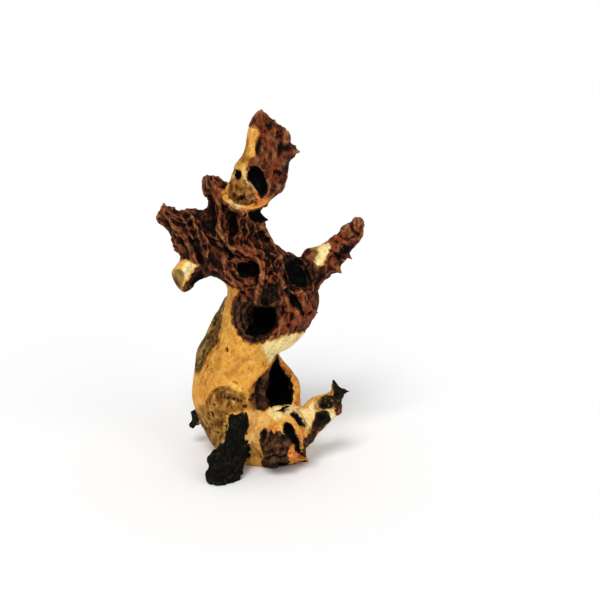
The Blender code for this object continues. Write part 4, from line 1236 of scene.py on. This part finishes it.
@dataclass(frozen=True)
class MopaniFinish:
    """Bare mopani wood, sand-blasted and weathered, with no varnish.

    Blasting wears the soft sapwood to a dry golden skin with a fine grit of open pores, and cuts the hard,
    oily heartwood into ribs: red-brown on their crests, painted lighter as highlight, and near black in the
    grooves between, which is painted shade.
    """

    # Sizes in millimetres, and how many times longer a noise is upwards. Pores and fibres of mopani are
    # finer than a tenth of a millimetre, so they are drawn coarser, as clusters that show in the render.
    noises: tuple[tuple[str, float, float], ...] = (
        ("broad", 24.0, 1.0), ("blotch", 7.0, 1.3), ("speckle", 2.6, 1.5), ("grit", 1.4, 1.0),
        ("fibres", 2.0, 7.0),
    )
    noise_detail: float = 4.0
    noise_roughness: float = 0.62
    least_noise: float = 0.32
    most_noise: float = 0.68
    values: tuple[str, ...] = ("relief_highlight_and_shade", "fine_relief_highlight_and_shade", "occlusion_shade", "streak")
    # Sapwood: warm and pale drifts, then pale places (painted highlight on the front), stained, old olive
    # and rusty places (some stains and the olive also painted shade) and the darker edge to the heartwood,
    # then mottling, pores and streaks, and last painted highlight on crests and painted shade in pits.
    honey: str = "#DC9C40"
    golden_coats: tuple[Coat, ...] = (
        Coat("#B87226", "broad", 0.45, 0.95, 0.60, 0.5, "blotch"),
        Coat("#ECB85C", "broad", 0.45, 0.05, 0.50, 0.4, "blotch"),
        # Pale coat: painted highlight on the front, sun-bleached wood behind.
        Coat("#F8EAA8", "bleached_and_highlight", -2.0, 2.0, 0.90, 2.5, "blotch"),
        # Stain coat, with painted shade on the front lobe's lower left.
        Coat("#54300C", "stained_and_shade", -2.0, 2.0, 0.92, 2.5, "blotch"),
        # Olive coat, with painted shade on the stem's left side and the stub's end.
        Coat("#38260C", "olive_and_shade", -2.0, 2.0, 0.92, 2.5, "blotch"),
        Coat("#D67434", "rusty", -1.5, 1.5, 0.90, 2.0, "blotch"),
        Coat("#74340A", "sapwood", 1.8, 0.1, 0.95, 2.0, "speckle"),
        Coat("#94581E", "blotch", 0.60, 1.05, 0.45, 0.5, "speckle"),
        Coat("#F6D080", "blotch", 0.38, -0.05, 0.25, 0.5, "speckle"),
        Coat("#6C3C12", "speckle", 0.62, 1.00, 0.50),
        Coat("#FADA8C", "speckle", 0.30, -0.10, 0.20),
        Coat("#7A4818", "streak", 0.10, 0.60, 0.35, 0.5, "fibres"),
        Coat("#4C2A0C", "grit", 0.66, 1.05, 0.55),
        Coat("#180C04", "speckle", 0.50, 0.86, 0.90, 0.0, "speckle", "stained_and_shade"),
        Coat("#A06424", "speckle", 0.34, 0.00, 0.45, 0.0, "speckle", "stained_and_shade"),
        Coat("#0E0904", "speckle", 0.50, 0.88, 0.90, 0.0, "speckle", "olive_and_shade"),
        Coat("#7A5C26", "speckle", 0.34, 0.00, 0.50, 0.0, "speckle", "olive_and_shade"),
        # Painted highlight on crests and painted shade in pits.
        Coat("#F6C46C", "fine_relief_highlight_and_shade", 0.08, 0.30, 0.25, 0.2),
        Coat("#2E1606", "fine_relief_highlight_and_shade", -0.10, -0.42, 0.92, 0.15),
    )
    # Heartwood: redder drifts and fresher places, then painted highlights on the crests, mottling and
    # fibres, and last painted shade, near black, in the grooves, which gives the ribs their depth.
    heart: str = "#32140A"
    heartwood_coats: tuple[Coat, ...] = (
        Coat("#5A2612", "broad", 0.40, 0.90, 0.8, 0.6, "blotch"),
        Coat("#8A3A1A", "reddish", -2.0, 2.0, 0.8, 3.0, "blotch"),
        # Painted highlights on the crests.
        Coat("#74381F", "relief_highlight_and_shade", -0.10, 0.50, 0.8, 0.6, "fibres"),
        Coat("#8E5A36", "relief_highlight_and_shade", 0.30, 1.00, 0.8, 0.9, "speckle"),
        Coat("#AE8658", "relief_highlight_and_shade", 0.80, 1.50, 0.5, 0.9, "grit"),
        Coat("#130A06", "speckle", 0.62, 1.00, 0.65),
        Coat("#94502E", "speckle", 0.30, -0.05, 0.4),
        Coat("#140A06", "fibres", 0.60, 0.95, 0.65),
        Coat("#9A5632", "fibres", 0.32, 0.00, 0.45),
        Coat("#22190C", "blotch", 0.28, -0.10, 0.6, 0.5, "speckle"),
        Coat("#0A0604", "blotch", 0.68, 1.00, 0.8, 0.5, "speckle"),
        # Painted shade in the grooves.
        Coat("#080403", "relief_highlight_and_shade", 0.00, -0.55, 1.0, 0.6, "fibres"),
        Coat("#0A0503", "streak", 0.15, 0.60, 0.6, 0.6, "fibres"),
    )
    # Over both woods: dead brown wood, burnt-looking wood and rot, each with painted shade in places, and
    # painted shade, near black, where the wood closes a point in.
    outer_coats: tuple[Coat, ...] = (
        # Dead brown wood, with painted shade on the stub's underside.
        Coat("#2A180E", "brown_and_shade", -0.6, 0.6, 1.0, 1.2),
        Coat("#442A18", "blotch", 0.45, 0.95, 0.7, 0.6, "speckle", "brown_and_shade"),
        Coat("#6C4428", "fibres", 0.55, 1.00, 0.5, 0.5, "grit", "brown_and_shade"),
        Coat("#0A0604", "speckle", 0.34, -0.05, 0.6, 0.5, "grit", "brown_and_shade"),
        # Painted highlight on crests and painted shade in hollows of the brown wood.
        Coat("#744E32", "fine_relief_highlight_and_shade", 0.08, 0.40, 0.5, 0.25, "speckle", "brown_and_shade"),
        Coat("#060403", "fine_relief_highlight_and_shade", -0.02, -0.30, 0.9, 0.25, "speckle", "brown_and_shade"),
        # Near black burnt-looking wood, with painted shade on the undersides.
        Coat("#060504", "charred_and_shade", -0.6, 1.0, 1.0, 2.5),
        Coat("#181509", "blotch", 0.45, 0.95, 0.9, 0.6, "speckle", "charred_and_shade"),
        Coat("#2E2A1A", "blotch", 0.30, -0.10, 0.7, 0.8, "speckle", "charred_and_shade"),
        # Painted highlight on lump tops and painted shade between lumps of the burnt-looking wood.
        Coat("#2E2A1C", "relief_highlight_and_shade", 0.40, 1.60, 0.3, 1.2, "speckle", "charred_and_shade"),
        Coat("#020202", "relief_highlight_and_shade", -0.10, -1.00, 0.8, 0.6, "speckle", "charred_and_shade"),
        # Black rot, with painted shade in the hollows and painted shadows under a rim and an underside.
        Coat("#030202", "rot_and_shade", -0.8, 0.6, 1.0, 1.2),
        # Painted shade, near black, where the wood itself closes a point in.
        Coat("#040303", "occlusion_shade", 0.78, 1.06, 0.97, 0.1),
    )
    ragged_edge: float = 2.5
    edge_softness: float = 0.35
    coat_within: float = -0.5
    # Bare, blasted wood is matt: its open fibres scatter the light, so hardly any gloss is left.
    sapwood_roughness: float = 0.72
    heartwood_roughness: float = 0.62
    roughness_swing: float = 0.25
    gloss: float = 0.06
    index_of_refraction: float = 1.5
    grit_height: float = 0.5
    speckle_height: float = 0.8
    bump_strength: float = 0.7
    bump_depth: float = 0.4

    def build(self) -> bpy.types.Material:
        """Makes the material.

        Returns:
            The material, which reads the attributes that RootWood keeps on the mesh.
        """
        material = bpy.data.materials.new("sandblasted_mopani_wood")
        nodes = NodeTree(material)
        place = nodes.add("ShaderNodeTexCoord").outputs["Object"]
        values = {}
        for name, size, stretch in self.noises:
            moved = nodes.add("ShaderNodeMapping", {"Vector": place, "Scale": (1, 1, 1 / stretch)})
            noise = nodes.add("ShaderNodeTexNoise", {
                "Vector": moved.outputs[0], "Scale": 1 / (size * MM), "Detail": self.noise_detail,
                "Roughness": self.noise_roughness,
            })
            values[name] = nodes.add("ShaderNodeMapRange", {
                "Value": noise.outputs["Fac"], "From Min": self.least_noise, "From Max": self.most_noise,
            }, clamp=False).outputs[0]
        for name in (*self.values, *(tint.value for tint in Tint if tint is not Tint.HEARTWOOD)):
            values[name] = nodes.add("ShaderNodeAttribute", attribute_name=name).outputs["Fac"]

        golden = self.lay(nodes, values, linear(self.honey), self.golden_coats)
        dark = self.lay(nodes, values, linear(self.heart), self.heartwood_coats)
        ragged = nodes.add("ShaderNodeMath", {
            0: values["speckle"], 1: self.ragged_edge, 2: -self.ragged_edge / 2,
        }, operation="MULTIPLY_ADD")
        edge = nodes.add("ShaderNodeMath", {0: values["sapwood"], 1: ragged.outputs[0]}, operation="ADD")
        is_golden = nodes.add("ShaderNodeMapRange", {
            "Value": edge.outputs[0], "From Min": -self.edge_softness, "From Max": self.edge_softness,
        }, interpolation_type="SMOOTHSTEP")
        wood = nodes.add("ShaderNodeMix", {0: is_golden.outputs[0], 6: dark, 7: golden}, data_type="RGBA")
        wood = self.lay(nodes, values, wood.outputs[2], self.outer_coats)

        matt = nodes.add("ShaderNodeMapRange", {
            "Value": is_golden.outputs[0], "To Min": self.heartwood_roughness,
            "To Max": self.sapwood_roughness,
        })
        swing = nodes.add("ShaderNodeMath", {
            0: values["speckle"], 1: self.roughness_swing, 2: -self.roughness_swing / 2,
        }, operation="MULTIPLY_ADD")
        rough = nodes.add("ShaderNodeMath", {0: matt.outputs[0], 1: swing.outputs[0]}, operation="ADD")
        height = values["fibres"]
        for name, share in (("grit", self.grit_height), ("speckle", self.speckle_height)):
            height = nodes.add("ShaderNodeMath", {0: values[name], 1: share, 2: height},
                               operation="MULTIPLY_ADD").outputs[0]
        bump = nodes.add("ShaderNodeBump", {
            "Height": height, "Strength": self.bump_strength, "Distance": self.bump_depth * MM,
        })
        shader = nodes.add("ShaderNodeBsdfPrincipled", {
            "Base Color": wood, "Roughness": rough.outputs[0], "IOR": self.index_of_refraction,
            "Specular IOR Level": self.gloss, "Normal": bump.outputs["Normal"],
        })
        nodes.add("ShaderNodeOutputMaterial", {"Surface": shader.outputs[0]})
        return material

    def lay(
        self, nodes: NodeTree, values: dict[str, bpy.types.NodeSocket],
        colour: bpy.types.NodeSocket | tuple[float, ...], coats: tuple[Coat, ...]
    ) -> bpy.types.NodeSocket:
        """Lays coats of colour over each other.

        Args:
            nodes: The nodes of the material.
            values: The values of the wood that say where a coat lies.
            colour: The colour or output under the first coat.
            coats: The coats, from the lowest up.

        Returns:
            The colour that shows.
        """
        for coat in coats:
            uneven = nodes.add("ShaderNodeMath", {
                0: values[coat.ragged_by], 1: coat.ragged, 2: -coat.ragged / 2,
            }, operation="MULTIPLY_ADD")
            value = nodes.add("ShaderNodeMath", {0: values[coat.where], 1: uneven.outputs[0]},
                              operation="ADD")
            share = nodes.add("ShaderNodeMapRange", {
                "Value": value.outputs[0], "From Min": coat.none_at, "From Max": coat.full_at,
                "To Max": coat.strength,
            }, interpolation_type="SMOOTHSTEP").outputs[0]
            if coat.within:
                there = nodes.add("ShaderNodeMapRange", {
                    "Value": values[coat.within], "From Min": self.coat_within,
                }, interpolation_type="SMOOTHSTEP")
                share = nodes.add("ShaderNodeMath", {0: share, 1: there.outputs[0]},
                                  operation="MULTIPLY").outputs[0]
            colour = nodes.add("ShaderNodeMix", {0: share, 6: colour, 7: linear(coat.colour)},
                               data_type="RGBA").outputs[2]
        return colour


@dataclass(frozen=True)
class SoftLight:
    """One wide, even light from far away, as from a large softbox."""

    name: str
    azimuth_deg: float
    elevation_deg: float
    width_deg: float
    strength: float

    def build(self) -> None:
        """Hangs the light."""
        turn, lift = math.radians(self.azimuth_deg), math.radians(self.elevation_deg)
        out = Vector((math.sin(turn) * math.cos(lift), -math.cos(turn) * math.cos(lift), math.sin(lift)))
        data = bpy.data.lights.new(self.name, "SUN")
        data.angle = math.radians(self.width_deg)
        data.energy = self.strength
        light = bpy.data.objects.new(self.name, data)
        bpy.context.scene.collection.objects.link(light)
        light.location = out
        light.rotation_mode = "QUATERNION"
        light.rotation_quaternion = (-out).to_track_quat("-Z", "Y")


@dataclass(frozen=True)
class Studio:
    """A plain white floor under soft lights."""

    floor_side: float = 24_000.0
    floor_colour: str = "#FAFAFA"
    floor_roughness: float = 0.9
    sky_colour: str = "#FFFFFF"
    sky_strength: float = 0.5
    lights: tuple[SoftLight, ...] = (
        SoftLight("key_softbox", -14.0, 52.0, 22.0, 1.9),
        SoftLight("fill_softbox", 42.0, 35.0, 40.0, 0.5),
    )

    def build(self) -> None:
        """Makes the floor, the surrounding light and the softboxes."""
        half = self.floor_side * MM / 2
        mesh = bpy.data.meshes.new("studio_floor")
        corners = [(-half, -half, 0), (half, -half, 0), (half, half, 0), (-half, half, 0)]
        mesh.from_pydata(corners, [], [(0, 1, 2, 3)])
        floor = bpy.data.objects.new("studio_floor", mesh)
        bpy.context.scene.collection.objects.link(floor)
        paper = bpy.data.materials.new("matt_white_paper")
        nodes = NodeTree(paper)
        shader = nodes.add("ShaderNodeBsdfPrincipled", {
            "Base Color": linear(self.floor_colour), "Roughness": self.floor_roughness,
        })
        nodes.add("ShaderNodeOutputMaterial", {"Surface": shader.outputs[0]})
        mesh.materials.append(paper)
        world = bpy.data.worlds.new("white_room")
        nodes = NodeTree(world)
        sky = nodes.add("ShaderNodeBackground", {
            "Color": linear(self.sky_colour), "Strength": self.sky_strength,
        })
        nodes.add("ShaderNodeOutputWorld", {"Surface": sky.outputs[0]})
        bpy.context.scene.world = world
        for light in self.lights:
            light.build()
        bpy.context.scene.view_settings.view_transform = "Standard"


def main() -> None:
    """Builds the camera, the studio and the dressed root."""
    logging.basicConfig(level=logging.INFO, format="%(name)s: %(message)s")
    view = PhotoView()
    view.build()
    LOG.info("camera: %.0f mm lens, %.0f degrees above level", view.lens, view.elevation_deg)
    Studio().build()
    LOG.info("studio: floor and lights")
    piece = RootWood().build(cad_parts[NODE], view)
    piece.data.materials.clear()
    piece.data.materials.append(MopaniFinish().build())
    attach(piece, BODY)
    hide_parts(NODE)
    LOG.info("%s: %d triangles", piece.name, len(piece.data.polygons))


if __name__ == "__main__":
    main()
